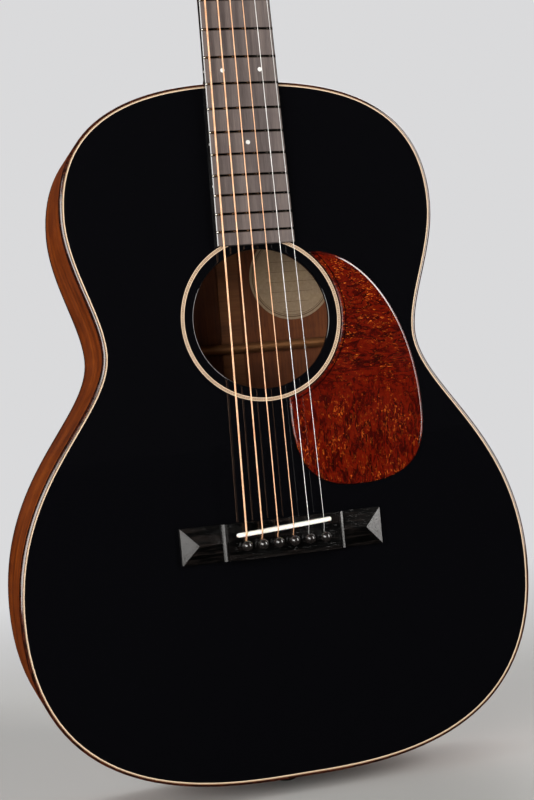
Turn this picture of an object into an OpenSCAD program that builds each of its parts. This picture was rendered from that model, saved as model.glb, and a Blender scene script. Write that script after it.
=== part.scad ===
// Steel-string acoustic guitar with a small, long body and twelve frets clear of it.
// Millimetres. +Z runs up the neck, -Y is the soundboard side, +X is the treble side.
// Shapes are worked out from a datum on the soundboard face, on the centreline, under the twelfth fret.
// placed() then moves them so that the origin is the middle of the strap button's head.

/* [Neck] */
// Nut to saddle length the frets are spaced by
scale_length = 645.16; // [640:0.5:650]
// Fingerboard width at the nut
nut_width = 44.45; // [43:0.25:46]
// Fingerboard widening per millimetre towards the body
board_taper = 0.0321; // [0.03:0.0005:0.034]
// Fingerboard thickness on the centreline
board_thickness = 6.6; // [6:0.1:7]
// Radius of the fingerboard's crowned face
board_radius = 406.4; // [300:10:500]
// Number of frets
fret_count = 19; // [18:1:19]
// Headstock tilt behind the plane of the fingerboard, degrees
head_tilt = 15; // [13:0.5:16]

/* [Body] */
// Half width of the upper bout at the purfling line
upper_bout = 137.56; // [135:0.5:140]
// Half width of the waist at the purfling line
waist = 115.95; // [113:0.5:118]
// Half width of the lower bout at the purfling line
lower_bout = 189.96; // [187:0.5:192]
// Body depth on the centreline at the heel end
heel_depth = 87; // [84:0.5:90]
// Body depth on the centreline at the tail end
tail_depth = 103; // [100:0.5:106]
// Soundhole radius
hole_radius = 50.8; // [49:0.2:51]
// Soundboard thickness
top_thickness = 2.8; // [2.6:0.1:3]

/* [Bridge] */
// Bridge length along the pin row
bridge_length = 151.4; // [150:0.2:153]
// Bridge height at its flat middle
bridge_height = 8.5; // [8.2:0.1:9]
// Spacing of the outer strings at the saddle
saddle_spread = 58.6; // [57:0.1:59]
// Spacing of the outer strings at the nut
nut_spread = 38.1; // [37:0.1:39]
// How far a bridge pin's ball is above the bridge
pin_ball_lift = 4.3; // [4.2:0.1:5]

/* [Hidden] */
$fn = 48;
DOME_FN = 256;

// Frets and strings
nut_z = scale_length / 2;
nut_length = 5;
head_z = nut_z + nut_length;
board_end_z = -117;
fret_crown = 1.1;
fret_width = 2.0;
tang_width = 0.6;
tang_depth = 1.8;
saddle_z = -323.2;
saddle_slant = 3.75;
saddle_top = 13;
string_radii = [0.68, 0.53, 0.41, 0.31, 0.21, 0.16];
string_count = 6;

// Body shell
line_inset = 2.5;
binding_width = 1.8;
binding_height = 6.3;
purfling_width = 1.4;
purfling_depth = 1.5;
side_thickness = 2.4;
back_thickness = 2.6;
back_dome_radius = 4572;
lining_width = 6;
lining_height = 14;
body_top_z = 2.6;
body_tail_z = -506.2;
curve_steps = 12;
hole_z = -171.2;
rosette_inner = 57.4;
rosette_outer = 60.4;
rosette_depth = 1.2;
stripe_half = 3;

// Blocks, truss rod and bolts
neck_block_half = 32;
neck_block_z = -38;
tail_block_half = 30;
tail_block_z = -486;
rod_y = 7.6;
rod_radius = 3;
rod_tip_radius = 2;
rod_nut_radius = 4.3;
bolt_ys = [26, 46];
bolt_radius = 3;
bolt_end_z = 14;
button_y = 51;
button_head_drop = 10;

// Braces
x_cross_z = -247;
x_leg_angle = 49;
x_leg_width = 8;
x_leg_height = 14;
back_brace_zs = [-85, -187.5, -300, -405];
back_brace_widths = [8, 8, 18, 18];
back_brace_heights = [15, 15, 10, 10];

// Bridge, saddle and pins
bridge_z_high = -316.9;
bridge_z_low = -343.6;
bridge_mid_half = 42;
wing_start = 46;
wing_apex = 63;
wing_apex_height = 6.4;
wing_edge_height = 2.7;
saddle_length = 72;
saddle_width = 3.2;
saddle_bottom = 3.5;
plate_thickness = 2.5;
pin_z = -333.3;
pin_top_radius = 2.7;
pin_tip_radius = 2.18;
pin_length = 20;
pin_ball_radius = 3.9;
pin_clearance = 0.03;
pin_groove_floor = 0.7;
pin_groove_rise = 2.2;
ball_end_radius = 1.95;
ball_end_y = top_thickness + plate_thickness + ball_end_radius + 0.1;
ball_end_reach = 2.5;

// Headstock and tuners, in the headstock's own frame: x across, y back from its face, z along it
head_thickness = 14;
head_length = 178;
plate_y = 14;
tuner_zs = [42, 84, 126];
tuner_x0 = 22.5;
tuner_x_step = 1.5;
post_radius = 3;
post_top = -17;
bushing_radius = 4.5;
running_gap = 0.05;
gear_teeth = 16;
worm_pitch = 2.513;
worm_radius = 2.3;
worm_throw = 0.7;
worm_length = 8.8;
mesh_gap = 0.4;
gear_radius = gear_teeth * worm_pitch / 360 * 180 / PI;
worm_offset = gear_radius + worm_radius + mesh_gap;
gear_thickness = 1.6;
gear_y = plate_y + 4.6;
shaft_radius = 1.5;
wrap_y = -6;

// ---- curves ----

function bezier(c, t) = pow(1 - t, 3) * c[0] + 3 * pow(1 - t, 2) * t * c[1]
    + 3 * (1 - t) * t * t * c[2] + pow(t, 3) * c[3];

function bezier_heading(c, t) = pow(1 - t, 2) * (c[1] - c[0]) + 2 * (1 - t) * t * (c[2] - c[1])
    + t * t * (c[3] - c[2]);

function unit(v) = v / norm(v);

// The purfling line of the treble half, neck to tail: four curves that meet at the bouts and waist.
bout_zs = [0.08, -91.43, -188.12, -368.83, -503.68];
body_curves = [
    [[0, bout_zs[0]], [49.3, bout_zs[0]], [upper_bout, bout_zs[1] + 86.5], [upper_bout, bout_zs[1]]],
    [[upper_bout, bout_zs[1]], [upper_bout, bout_zs[1] - 35.2], [waist, bout_zs[2] + 27.7], [waist, bout_zs[2]]],
    [[waist, bout_zs[2]], [waist, bout_zs[2] - 45.1], [lower_bout, bout_zs[3] + 99], [lower_bout, bout_zs[3]]],
    [[lower_bout, bout_zs[3]], [lower_bout, bout_zs[3] - 140], [53.4, bout_zs[4]], [0, bout_zs[4]]]
];

function beside(c, t, out) = let (h = unit(bezier_heading(c, t))) bezier(c, t) + out * [-h[1], h[0]];

// Body outline in [x, z], moved in from the outer edge by inset; starts at the neck, runs clockwise.
function half_outline(inset) = [
    for (c = body_curves) for (i = [0 : curve_steps - 1]) beside(c, i / curve_steps, line_inset - inset)
];
function outline(inset) = let (half = half_outline(inset), n = len(half)) concat(
    [[0, half[0][1]]],
    [for (i = [1 : n - 1]) half[i]],
    [[0, bout_zs[4] - line_inset + inset]],
    [for (i = [n - 1 : -1 : 1]) [-half[i][0], half[i][1]]]
);

// Outline with saw kerfs: each step of it keeps a block of lining and then a slot back to a thin web.
function kerfed(inset, web_inset) = let (a = outline(inset), b = outline(web_inset), n = len(a)) [
    for (i = [0 : n - 1]) let (j = (i + 1) % n)
        for (p = [a[i], a[i] + 0.86 * (a[j] - a[i]), b[i] + 0.86 * (b[j] - b[i]), b[j]]) p
];

// Moves a piece from the datum to the origin at the strap button's head.
module placed() {
    translate([0, -button_y, button_head_drop - body_tail_z])
        children();
}

// ---- shells ----

// Extrudes a shape drawn in [x, z] from y0 to y1.
module slab(y0, y1) {
    rotate([90, 0, 0])
        translate([0, 0, -y1])
            linear_extrude(height = y1 - y0)
                children();
}

module ring_slab(y0, y1, outer, inner) {
    slab(y0, y1)
        difference() {
            polygon(outline(outer));
            polygon(outline(inner));
        }
}

// Ball whose far side is the domed back; drop measures in from the back's outer face.
body_length = body_top_z - body_tail_z;
back_tilt = atan((tail_depth - heel_depth) / body_length);
dome_reach = sqrt(pow(back_dome_radius, 2) - pow(norm([body_length, tail_depth - heel_depth]) / 2, 2));
module dome(drop) {
    translate([0, (heel_depth + tail_depth) / 2 - dome_reach * cos(back_tilt),
        (body_top_z + body_tail_z) / 2 - dome_reach * sin(back_tilt)])
        rotate([84, 0, 0])
            sphere(r = back_dome_radius - drop, $fn = DOME_FN);
}

// Keeps the part of a deep shape that lies between two depths of the back.
module back_layer(drop_out, drop_in) {
    difference() {
        intersection() {
            children();
            dome(drop_out);
        }
        dome(drop_in);
    }
}

module box(x0, x1, y0, y1, z0, z1) {
    translate([x0, y0, z0])
        cube([x1 - x0, y1 - y0, z1 - z0]);
}

// Cylinder along y from y0 to y1, at [x, z].
module peg(x, z, y0, y1, r0, r1) {
    translate([x, y0, z])
        rotate([-90, 0, 0])
            cylinder(h = y1 - y0, r1 = r0, r2 = r1);
}

// Cylinder along z from z0 to z1, at [x, y].
module rod(x, y, z0, z1, r) {
    translate([x, y, z0])
        cylinder(h = z1 - z0, r = r);
}

module soundboard() {
    color([0.02, 0.02, 0.02]) placed()
        difference() {
            slab(0, top_thickness)
                polygon(outline(binding_width));
            ring_slab(-1, purfling_depth, 0, binding_width + purfling_width);
            peg(0, hole_z, -1, top_thickness + 1, hole_radius, hole_radius);
            difference() {
                peg(0, hole_z, -1, rosette_depth, rosette_outer, rosette_outer);
                peg(0, hole_z, -2, rosette_depth + 1, rosette_inner, rosette_inner);
            }
            pin_holes();
        }
}

module back_plate(x0, x1) {
    back_layer(0, back_thickness)
        intersection() {
            slab(60, 140)
                polygon(outline(binding_width));
            box(x0, x1, 0, 200, -600, 100);
        }
}

module back_bass() {
    color([0.4, 0.18, 0.07]) placed()
        back_plate(-300, -stripe_half);
}

module back_treble() {
    color([0.4, 0.18, 0.07]) placed()
        back_plate(stripe_half, 300);
}

module back_stripe() {
    color([0.75, 0.6, 0.35]) placed()
        back_plate(-stripe_half, stripe_half);
}

// Straps bent round the outline, cut back where the bindings, end wedge and fixings go.
module rim() {
    difference() {
        intersection() {
            ring_slab(top_thickness, 140, 0, side_thickness);
            dome(back_thickness);
        }
        ring_slab(-1, binding_height, -1, binding_width);
        difference() {
            ring_slab(60, 150, -1, binding_width);
            dome(binding_height);
        }
        neck_fixing_holes();
        rod(0, button_y, -520, -480, 3.5);
    }
}

module wedge_space() {
    translate([0, 0, -520])
        linear_extrude(height = 40)
            polygon([[-11, 0], [11, 0], [7, 120], [-7, 120]]);
}

module side_half(x0, x1) {
    color([0.42, 0.2, 0.08]) placed()
        difference() {
            intersection() {
                rim();
                box(x0, x1, 0, 200, -600, 100);
            }
            wedge_space();
        }
}

module side_bass() {
    side_half(-300, 0);
}

module side_treble() {
    side_half(0, 300);
}

module tail_wedge() {
    color([0.1, 0.05, 0.03]) placed()
        intersection() {
            rim();
            wedge_space();
        }
}

module top_binding() {
    color([0.12, 0.05, 0.03]) placed()
        difference() {
            ring_slab(0, binding_height, 0, binding_width);
            rod_channel();
        }
}

module back_binding() {
    color([0.12, 0.05, 0.03]) placed()
        back_layer(0, binding_height)
            ring_slab(60, 150, 0, binding_width);
}

module top_purfling() {
    color([0.85, 0.75, 0.55]) placed()
        ring_slab(0, purfling_depth, binding_width, binding_width + purfling_width);
}

module block_spaces(grow) {
    box(-neck_block_half - grow, neck_block_half + grow, 0, 140, neck_block_z - grow, 20);
    box(-tail_block_half - grow, tail_block_half + grow, 0, 140, -520, tail_block_z + grow);
}

module kerfed_linings() {
    color([0.75, 0.6, 0.4]) placed()
        difference() {
            union() {
                slab(top_thickness, top_thickness + lining_height)
                    lining_plan();
                back_layer(back_thickness, back_thickness + lining_height)
                    slab(50, 140)
                        lining_plan();
            }
            block_spaces(0.1);
        }
}

module lining_plan() {
    difference() {
        polygon(outline(side_thickness));
        polygon(kerfed(side_thickness + lining_width, side_thickness + 1.6));
    }
}

module inside_block(half, z0, z1) {
    intersection() {
        slab(top_thickness, 140)
            polygon(outline(side_thickness));
        box(-half, half, 0, 140, z0, z1);
        dome(back_thickness);
    }
}

module neck_block() {
    color([0.5, 0.28, 0.14]) placed()
        difference() {
            inside_block(neck_block_half, neck_block_z, 20);
            neck_fixing_holes();
        }
}

module tail_block() {
    color([0.5, 0.28, 0.14]) placed()
        difference() {
            inside_block(tail_block_half, -520, tail_block_z);
            rod(0, button_y, -520, -480, 3.5);
        }
}

module rod_channel() {
    box(-rod_radius - 0.3, rod_radius + 0.3, rod_y - rod_radius - 0.3, rod_y + rod_radius + 0.3,
        neck_block_z - 1, 20);
}

module neck_fixing_holes() {
    rod_channel();
    for (y = bolt_ys)
        rod(0, y, neck_block_z - 1, bolt_end_z + 1, bolt_radius + 0.1);
}

// ---- braces ----

// A bar on the soundboard's underside, from p to q in [x, z], with tapered ends.
module brace(p, q, width, height, tip) {
    run = norm(q - p);
    turn = atan2(q[1] - p[1], q[0] - p[0]);
    translate([p[0], 0, p[1]])
        rotate([0, -turn, 0])
            translate([0, 0, -width / 2])
                linear_extrude(height = width)
                    polygon([[0, top_thickness], [run, top_thickness], [run, top_thickness + tip],
                        [run * 0.8, top_thickness + height * 0.55], [run * 0.6, top_thickness + height * 0.8],
                        [run * 0.5, top_thickness + height], [run * 0.34, top_thickness + height],
                        [run * 0.15, top_thickness + height * 0.6], [0, top_thickness + tip]]);
}

module inside_rim() {
    intersection() {
        children();
        slab(top_thickness, 60)
            polygon(outline(side_thickness + lining_width));
    }
}

function leg_point(side, along) = [side * along * sin(x_leg_angle), x_cross_z - along * cos(x_leg_angle)];

module x_leg(side, lap0, lap1) {
    difference() {
        inside_rim()
            brace(leg_point(side, -155), leg_point(side, 235), x_leg_width, x_leg_height, 4);
        intersection() {
            brace(leg_point(-side, -20), leg_point(-side, 20), x_leg_width, 40, 40);
            box(-30, 30, lap0, lap1, x_cross_z - 30, x_cross_z + 30);
        }
    }
}

// Two legs, half-lapped where they cross.
module x_braces() {
    lap = top_thickness + x_leg_height / 2;
    color([0.85, 0.7, 0.5]) placed() {
        x_leg(1, 0, lap);
        x_leg(-1, lap, 60);
    }
}

module transverse_brace() {
    color([0.85, 0.7, 0.5]) placed()
        inside_rim()
            difference() {
                box(-200, 200, top_thickness, top_thickness + x_leg_height, -109, -99);
                rod(0, rod_y, -120, -90, 4);
            }
}

module tone_bars() {
    color([0.85, 0.7, 0.5]) placed() {
        brace([-70, -366], [62, -417], 6, 9, 2);
        brace([-96, -412], [28, -462], 6, 8, 2);
    }
}

module finger_braces() {
    color([0.85, 0.7, 0.5]) placed()
        for (s = [-1, 1]) {
            brace([s * 92, -300], [s * 142, -282], 6, 7, 2);
            brace([s * 112, -334], [s * 166, -330], 6, 7, 2);
        }
}

module back_braces() {
    color([0.8, 0.62, 0.42]) placed()
        for (i = [0 : 3])
            back_layer(back_thickness, back_thickness + back_brace_heights[i])
                intersection() {
                    slab(60, 140)
                        polygon(outline(side_thickness + lining_width + 0.1));
                    box(-250, 250, 0, 140, back_brace_zs[i] - back_brace_widths[i] / 2,
                        back_brace_zs[i] + back_brace_widths[i] / 2);
                }
}

// Cross-grain strips over the back's centre joint, between the braces.
module back_reinforcement() {
    color([0.6, 0.4, 0.22]) placed()
        back_layer(back_thickness, back_thickness + 2.2)
            difference() {
                box(-8.5, 8.5, 60, 140, tail_block_z, neck_block_z);
                for (i = [0 : 3])
                    box(-20, 20, 50, 150, back_brace_zs[i] - back_brace_widths[i] / 2,
                        back_brace_zs[i] + back_brace_widths[i] / 2);
            }
}

module bridge_plate() {
    color([0.8, 0.65, 0.42]) placed()
        difference() {
            slab(top_thickness, top_thickness + plate_thickness)
                polygon([[-64, -310.5], [64, -310.5], [74, -349], [-74, -349]]);
            pin_holes();
        }
}

// ---- soundboard trim ----

module rosette() {
    color([0.85, 0.72, 0.5]) placed()
        difference() {
            peg(0, hole_z, 0, rosette_depth, rosette_outer, rosette_outer);
            peg(0, hole_z, -1, rosette_depth + 1, rosette_inner, rosette_inner);
        }
}

guard_curves = [
    [[42.2, -124.5], [78.3, -124.5], [117.4, -172.4], [117.4, -247.9]],
    [[117.4, -247.9], [117.4, -282.8], [102, -298.2], [62.2, -298.2]],
    [[62.2, -298.2], [23.7, -298.2], [13.2, -276], [15.2, -230.6]]
];

module pickguard() {
    color([0.45, 0.1, 0.03]) placed()
        difference() {
            slab(-1.6, 0)
                polygon(concat([for (c = guard_curves) for (i = [0 : 9]) bezier(c, i / 10)],
                    [[15.2, -230.6], [0, -200], [0, -140], [30, -126]]));
            peg(0, hole_z, -3, 1, rosette_outer + 0.7, rosette_outer + 0.7);
        }
}

module label() {
    color([0.9, 0.86, 0.74]) placed()
        back_layer(back_thickness, back_thickness + 0.3)
            peg(53, -133, 60, 140, 34.5, 34.5);
}

// ---- strings ----

function string_x(i, z) = (nut_spread + (nut_z - z) * (saddle_spread - nut_spread) / scale_length)
    * (i / (string_count - 1) - 0.5);
function crown_drop(x) = board_radius - sqrt(pow(board_radius, 2) - x * x);
function string_saddle_z(i) = saddle_z + string_x(i, saddle_z) * tan(saddle_slant);
function head_point(x, y, z) = [x, y * cos(head_tilt) + z * sin(head_tilt),
    head_z - y * sin(head_tilt) + z * cos(head_tilt)];

function hole_radius_at(y) = pin_top_radius - (y + bridge_height) * (pin_top_radius - pin_tip_radius) / pin_length;
function string_side(i) = hole_radius_at(top_thickness + plate_thickness) - string_radii[i] - 0.05;

// Posts count from the bass side's nut end up, then down the treble side.
function post_side(i) = i < 3 ? -1 : 1;
function post_step(i) = i < 3 ? i : 5 - i;
function post_x(i) = post_side(i) * (tuner_x0 + tuner_x_step * post_step(i));
function post_z(i) = tuner_zs[post_step(i)];
function wrap_radius(i) = post_radius + 1.8 * string_radii[i];

// Ball end, under the bridge plate, up its pin's groove, over the saddle and nut, to its post.
function string_path(i) =
    let (
        r = string_radii[i],
        xs = string_x(i, string_saddle_z(i)),
        xn = string_x(i, nut_z),
        xp = string_x(i, pin_z),
        under = top_thickness + plate_thickness + 0.1 + r,
        ball = [xp, ball_end_y, pin_z + string_side(i) + ball_end_reach],
        bend = [xp, under, pin_z + string_side(i)],
        stop = bend + (ball - bend) * (norm(ball - bend) - ball_end_radius) / norm(ball - bend)
    ) [
        stop,
        bend,
        [xp, -bridge_height, pin_z + string_side(i)],
        [xs, -saddle_top - 0.5 * r + crown_drop(xs), string_saddle_z(i)],
        [xn, -board_thickness - fret_crown - 0.5 - r + crown_drop(xn), nut_z + 0.5],
        head_point(post_x(i) - post_side(i) * (wrap_radius(i) + r + 0.08), wrap_y, post_z(i))
    ];

tube_sides = 8;
function heading(path, i) = i == 0 ? unit(path[1] - path[0])
    : i == len(path) - 1 ? unit(path[i] - path[i - 1])
    : unit(unit(path[i] - path[i - 1]) + unit(path[i + 1] - path[i]));
function tube_ring(path, i, r) =
    let (
        d = heading(path, i),
        leg = i == 0 ? path[1] - path[0] : path[i] - path[i - 1],
        across = unit([1, 0, 0] - d[0] * d),
        up = cross(d, across) / (d * unit(leg))
    )
    [for (k = [0 : tube_sides - 1]) path[i] + r * (cos(360 * k / tube_sides) * across
        + sin(360 * k / tube_sides) * up)];

// Round wire along a path, mitred at its bends.
module tube(path, r) {
    n = len(path);
    s = tube_sides;
    polyhedron(
        points = [for (i = [0 : n - 1]) for (p = tube_ring(path, i, r)) p],
        faces = concat(
            [[for (k = [0 : s - 1]) k]],
            [for (i = [0 : n - 2]) for (k = [0 : s - 1]) let (m = (k + 1) % s)
                for (f = [[i * s + k, (i + 1) * s + k, (i + 1) * s + m],
                    [i * s + k, (i + 1) * s + m, i * s + m]]) f],
            [[for (k = [s - 1 : -1 : 0]) (n - 1) * s + k]]
        )
    );
}

module string(i) {
    tube(string_path(i), string_radii[i]);
}

// Room a string needs where it is let into another piece.
module string_room(i) {
    tube(string_path(i), string_radii[i] * 1.1 + 0.04);
}

module wound_strings() {
    color([0.75, 0.5, 0.3]) placed()
        for (i = [0 : 3])
            string(i);
}

module plain_strings() {
    color([0.8, 0.8, 0.8]) placed()
        for (i = [4 : 5])
            string(i);
}

module ball_ends() {
    color([0.8, 0.65, 0.3]) placed()
        for (i = [0 : string_count - 1])
            translate([string_x(i, pin_z), ball_end_y, pin_z + string_side(i) + ball_end_reach])
                rotate([0, 90, 0])
                    cylinder(h = 4, r = ball_end_radius - 0.04, center = true);
}

// ---- bridge ----

module pin_holes() {
    for (i = [0 : string_count - 1])
        peg(string_x(i, pin_z), pin_z, -bridge_height, pin_length - bridge_height,
            pin_top_radius + pin_clearance, pin_tip_radius + pin_clearance);
}

bridge_mid_z = (bridge_z_high + bridge_z_low) / 2;

// Hipped wing: level eaves, a ridge from the scoop to the apex and one end facet.
module bridge_wing(s) {
    end = bridge_length / 2;
    eave = -wing_edge_height;
    polyhedron(
        points = [[wing_start, 0, bridge_z_low], [wing_start, 0, bridge_z_high],
            [wing_start, eave, bridge_z_high], [wing_start, -5.2, bridge_mid_z], [wing_start, eave, bridge_z_low],
            [end, 0, bridge_z_low], [end, 0, bridge_z_high], [end, eave, bridge_z_high], [end, eave, bridge_z_low],
            [wing_apex, -wing_apex_height, bridge_mid_z]],
        faces = [[0, 1, 2, 3, 4], [0, 5, 6, 1], [6, 5, 8, 7], [1, 6, 7, 2], [0, 4, 8, 5],
            [2, 7, 9], [2, 9, 3], [3, 9, 4], [4, 9, 8], [7, 8, 9]]
    );
}

module bridge() {
    color([0.1, 0.08, 0.07]) placed()
        difference() {
            union() {
                translate([0, 0, bridge_z_low])
                    linear_extrude(height = bridge_z_high - bridge_z_low)
                        polygon([[-wing_start, 0], [-wing_start, -5.2], [-44.4, -5.6], [-43, -6.6],
                            [-bridge_mid_half, -bridge_height], [bridge_mid_half, -bridge_height], [43, -6.6],
                            [44.4, -5.6], [wing_start, -5.2], [wing_start, 0]]);
                bridge_wing(1);
                mirror([1, 0, 0])
                    bridge_wing(1);
            }
            pin_holes();
            saddle_space();
            for (i = [0 : string_count - 1])
                string_room(i);
        }
}

module saddle_plan() {
    straight = saddle_length / 2 - saddle_width / 2;
    translate([0, saddle_z])
        rotate(saddle_slant)
            polygon(concat(
                [for (a = [-90 : 15 : 90]) [straight + saddle_width / 2 * cos(a), saddle_width / 2 * sin(a)]],
                [for (a = [90 : 15 : 270]) [-straight + saddle_width / 2 * cos(a), saddle_width / 2 * sin(a)]]));
}

module saddle_space() {
    slab(-20, -saddle_bottom)
        saddle_plan();
}

// Solid with the fingerboard's crown, whose top is at height h over the soundboard plane.
module crowned(h) {
    translate([0, board_radius - h, -500])
        cylinder(h = 1000, r = board_radius, $fn = DOME_FN);
}

module saddle() {
    color([0.93, 0.9, 0.82]) placed()
        difference() {
            intersection() {
                slab(-20, -saddle_bottom)
                    saddle_plan();
                crowned(saddle_top);
            }
            for (i = [0 : string_count - 1])
                string_room(i);
        }
}

// Tapered pin with a ball head and a groove on its neck side for the string.
module bridge_pin(i) {
    color([0.03, 0.03, 0.03]) placed()
        difference() {
            union() {
                peg(string_x(i, pin_z), pin_z, -bridge_height, pin_length - bridge_height,
                    pin_top_radius, pin_tip_radius);
                peg(string_x(i, pin_z), pin_z, -bridge_height - 1.5, -bridge_height,
                    pin_top_radius, pin_top_radius);
                translate([string_x(i, pin_z), -bridge_height - pin_ball_lift, pin_z])
                    sphere(r = pin_ball_radius);
            }
            box(string_x(i, pin_z) - 0.95, string_x(i, pin_z) + 0.95, -bridge_height - pin_groove_rise, 40,
                pin_z + pin_groove_floor, pin_z + 6);
        }
}

module bridge_pin_1() {
    bridge_pin(0);
}

module bridge_pin_2() {
    bridge_pin(1);
}

module bridge_pin_3() {
    bridge_pin(2);
}

module bridge_pin_4() {
    bridge_pin(3);
}

module bridge_pin_5() {
    bridge_pin(4);
}

module bridge_pin_6() {
    bridge_pin(5);
}

// ---- neck ----

function board_half(z) = (nut_width + (nut_z - z) * board_taper) / 2;

heel_start_z = 66;
heel_cut_y = heel_depth - 2;
shaft_depth_nut = 14.2;
shaft_depth_heel = 16.5;
heel_reach = 205;
heel_hollow = 0.7;
heel_hollow_y = 40;
heel_limit = heel_depth + 8;
section_steps = 10;
neck_stations = [-6, 3, 8, 13, 18, 24, 30, 37, 45, 55, heel_start_z, 150, 240, nut_z - 12, nut_z, head_z];
volute_flare = 0.22;
volute_length = 16;

function heel_share(z) = max(0, (heel_start_z - z) / heel_start_z);
function shaft_depth(z) = shaft_depth_heel
    + (shaft_depth_nut - shaft_depth_heel) * max(0, z - heel_start_z) / (nut_z - heel_start_z)
    + volute_flare * max(0, z - nut_z);
function full_depth(z) = shaft_depth(z) + heel_reach * pow(heel_share(z), 3);
function half_at(z, y) = board_half(z) * sqrt(1 - pow(y / full_depth(z), 2))
    * (1 - heel_hollow * heel_share(z) * (1 - exp(-y / heel_hollow_y)));

// One cross-section of the neck: flat at depth top, rounded behind.
function neck_ring(z, top = 0) = let (depth = min(full_depth(z), heel_limit) - top) concat(
    [for (i = [0 : section_steps]) let (y = top + depth * sin(i * 88 / section_steps)) [half_at(z, y), y, z]],
    [for (i = [section_steps : -1 : 0]) let (y = top + depth * sin(i * 88 / section_steps)) [-half_at(z, y), y, z]]
);

module neck_blank() {
    rings = concat([for (z = neck_stations) neck_ring(z)], [neck_ring(head_z + volute_length, 6)]);
    n = len(rings);
    s = len(rings[0]);
    polyhedron(
        points = [for (r = rings) for (p = r) p],
        faces = concat(
            [[for (k = [0 : s - 1]) k]],
            [for (i = [0 : n - 2]) for (k = [0 : s - 1]) let (m = (k + 1) % s)
                for (f = [[i * s + k, (i + 1) * s + m, i * s + m],
                    [i * s + k, (i + 1) * s + k, (i + 1) * s + m]]) f],
            [[for (k = [s - 1 : -1 : 0]) (n - 1) * s + k]]
        )
    );
}

// Places children drawn in the headstock's own frame.
module on_head() {
    translate([0, 0, head_z])
        rotate([-head_tilt, 0, 0])
            children();
}

head_curves = [
    [[23, 0], [23, 8], [28.6, 12], [29, 22]],
    [[36.5, head_length - 6], [30, head_length - 1], [14, head_length], [0, head_length + 3]]
];
function head_half() = [for (c = head_curves) for (i = [0 : 6]) bezier(c, i / 6)];
module head_plan() {
    half = head_half();
    polygon(concat(half, [for (i = [len(half) - 2 : -1 : 0]) [-half[i][0], half[i][1]]]));
}

module neck() {
    color([0.4, 0.2, 0.1]) placed()
        difference() {
            union() {
                neck_blank();
                on_head()
                    slab(0, head_thickness)
                        head_plan();
            }
            slab(-10, 200)
                polygon(outline(0));
            box(-60, 60, heel_cut_y, 150, -20, 120);
            box(-rod_radius - 0.3, rod_radius + 0.3, -10, rod_y + rod_radius + 0.3, -20, nut_z - 12);
            for (y = bolt_ys)
                rod(0, y, -20, bolt_end_z + 0.5, bolt_radius + 0.1);
            for (i = [0 : string_count - 1])
                on_head() {
                    peg(post_x(i), post_z(i), -1, 8, bushing_radius + 0.02, bushing_radius + 0.02);
                    peg(post_x(i), post_z(i), 7, head_thickness + 1, post_radius + 0.4, post_radius + 0.4);
                    for (z = screw_zs)
                        peg(post_x(i), post_z(i) + z, head_thickness - 9, head_thickness + 1, 1.02, 1.02);
                }
        }
}

module heel_cap() {
    color([0.1, 0.06, 0.04]) placed()
        difference() {
            intersection() {
                neck_blank();
                box(-60, 60, heel_cut_y, heel_depth, -20, 120);
            }
            slab(-10, 200)
                polygon(outline(0));
        }
}

module board_plan(inset) {
    polygon([[-board_half(nut_z) + inset, nut_z], [board_half(nut_z) - inset, nut_z],
        [board_half(board_end_z) - inset, board_end_z], [-board_half(board_end_z) + inset, board_end_z]]);
}

function fret_z(n) = scale_length * pow(2, -n / 12) - nut_z;

// Revolves a shape drawn in [radius, z] about the axis of the fingerboard's crown.
module about_crown() {
    translate([0, board_radius - board_thickness, 0])
        rotate_extrude($fn = DOME_FN)
            children();
}

module fret_tangs(grow, deep) {
    for (n = [1 : fret_count])
        about_crown()
            translate([board_radius - tang_depth - deep, fret_z(n) - tang_width / 2 - grow])
                square([tang_depth + deep + 0.2, tang_width + 2 * grow]);
}

module frets() {
    w = fret_width / 2;
    color([0.8, 0.8, 0.78]) placed()
        intersection() {
            union() {
                fret_tangs(0, 0);
                for (n = [1 : fret_count])
                    about_crown()
                        translate([board_radius, fret_z(n)])
                            polygon([[0, -w], [0.45 * fret_crown, -0.8 * w], [0.85 * fret_crown, -0.45 * w],
                                [fret_crown, 0], [0.85 * fret_crown, 0.45 * w], [0.45 * fret_crown, 0.8 * w], [0, w]]);
            }
            slab(-20, 0)
                board_plan(0.2);
        }
}

dots = [[0, 5], [0, 7], [0, 9], [-14, 12], [14, 12], [0, 15]];
side_dots = [5, 7, 9, 12, 15, 17];
dot_radius = 1.6;
function between_frets(n) = (fret_z(n) + fret_z(n - 1)) / 2;

module marker_pegs() {
    $fn = 96;
    for (d = dots)
        peg(d[0], between_frets(d[1]), -20, -board_thickness + 1.4, dot_radius, dot_radius);
    for (n = side_dots)
        translate([-40, -board_thickness / 2, between_frets(n)])
            rotate([0, 90, 0])
                cylinder(h = 40 - board_half(between_frets(n)) + 1.5, r = 0.9);
}

module fingerboard() {
    color([0.13, 0.11, 0.1]) placed()
        difference() {
            intersection() {
                slab(-20, 0)
                    board_plan(0);
                crowned(board_thickness);
            }
            fret_tangs(0.01, 0.05);
            marker_pegs();
        }
}

module fret_markers() {
    color([0.92, 0.92, 0.9]) placed()
        intersection() {
            marker_pegs();
            slab(-20, 0)
                board_plan(0);
            crowned(board_thickness);
        }
}

module nut() {
    color([0.93, 0.9, 0.82]) placed()
        difference() {
            intersection() {
                box(-nut_width / 2, nut_width / 2, -20, 0, nut_z, head_z);
                crowned(board_thickness + fret_crown + 1.2);
            }
            for (i = [0 : string_count - 1]) {
                path = string_path(i);
                r = string_radii[i] * 1.1 + 0.04;
                string_room(i);
                hull()
                    for (lift = [0, 4])
                        for (k = [0, 1])
                            translate(path[4] + k * 7 * unit(path[5] - path[4]) - [0, lift, k == 0 ? 1 : 0])
                                cube(2 * r - 0.02, center = true);
            }
        }
}

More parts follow.
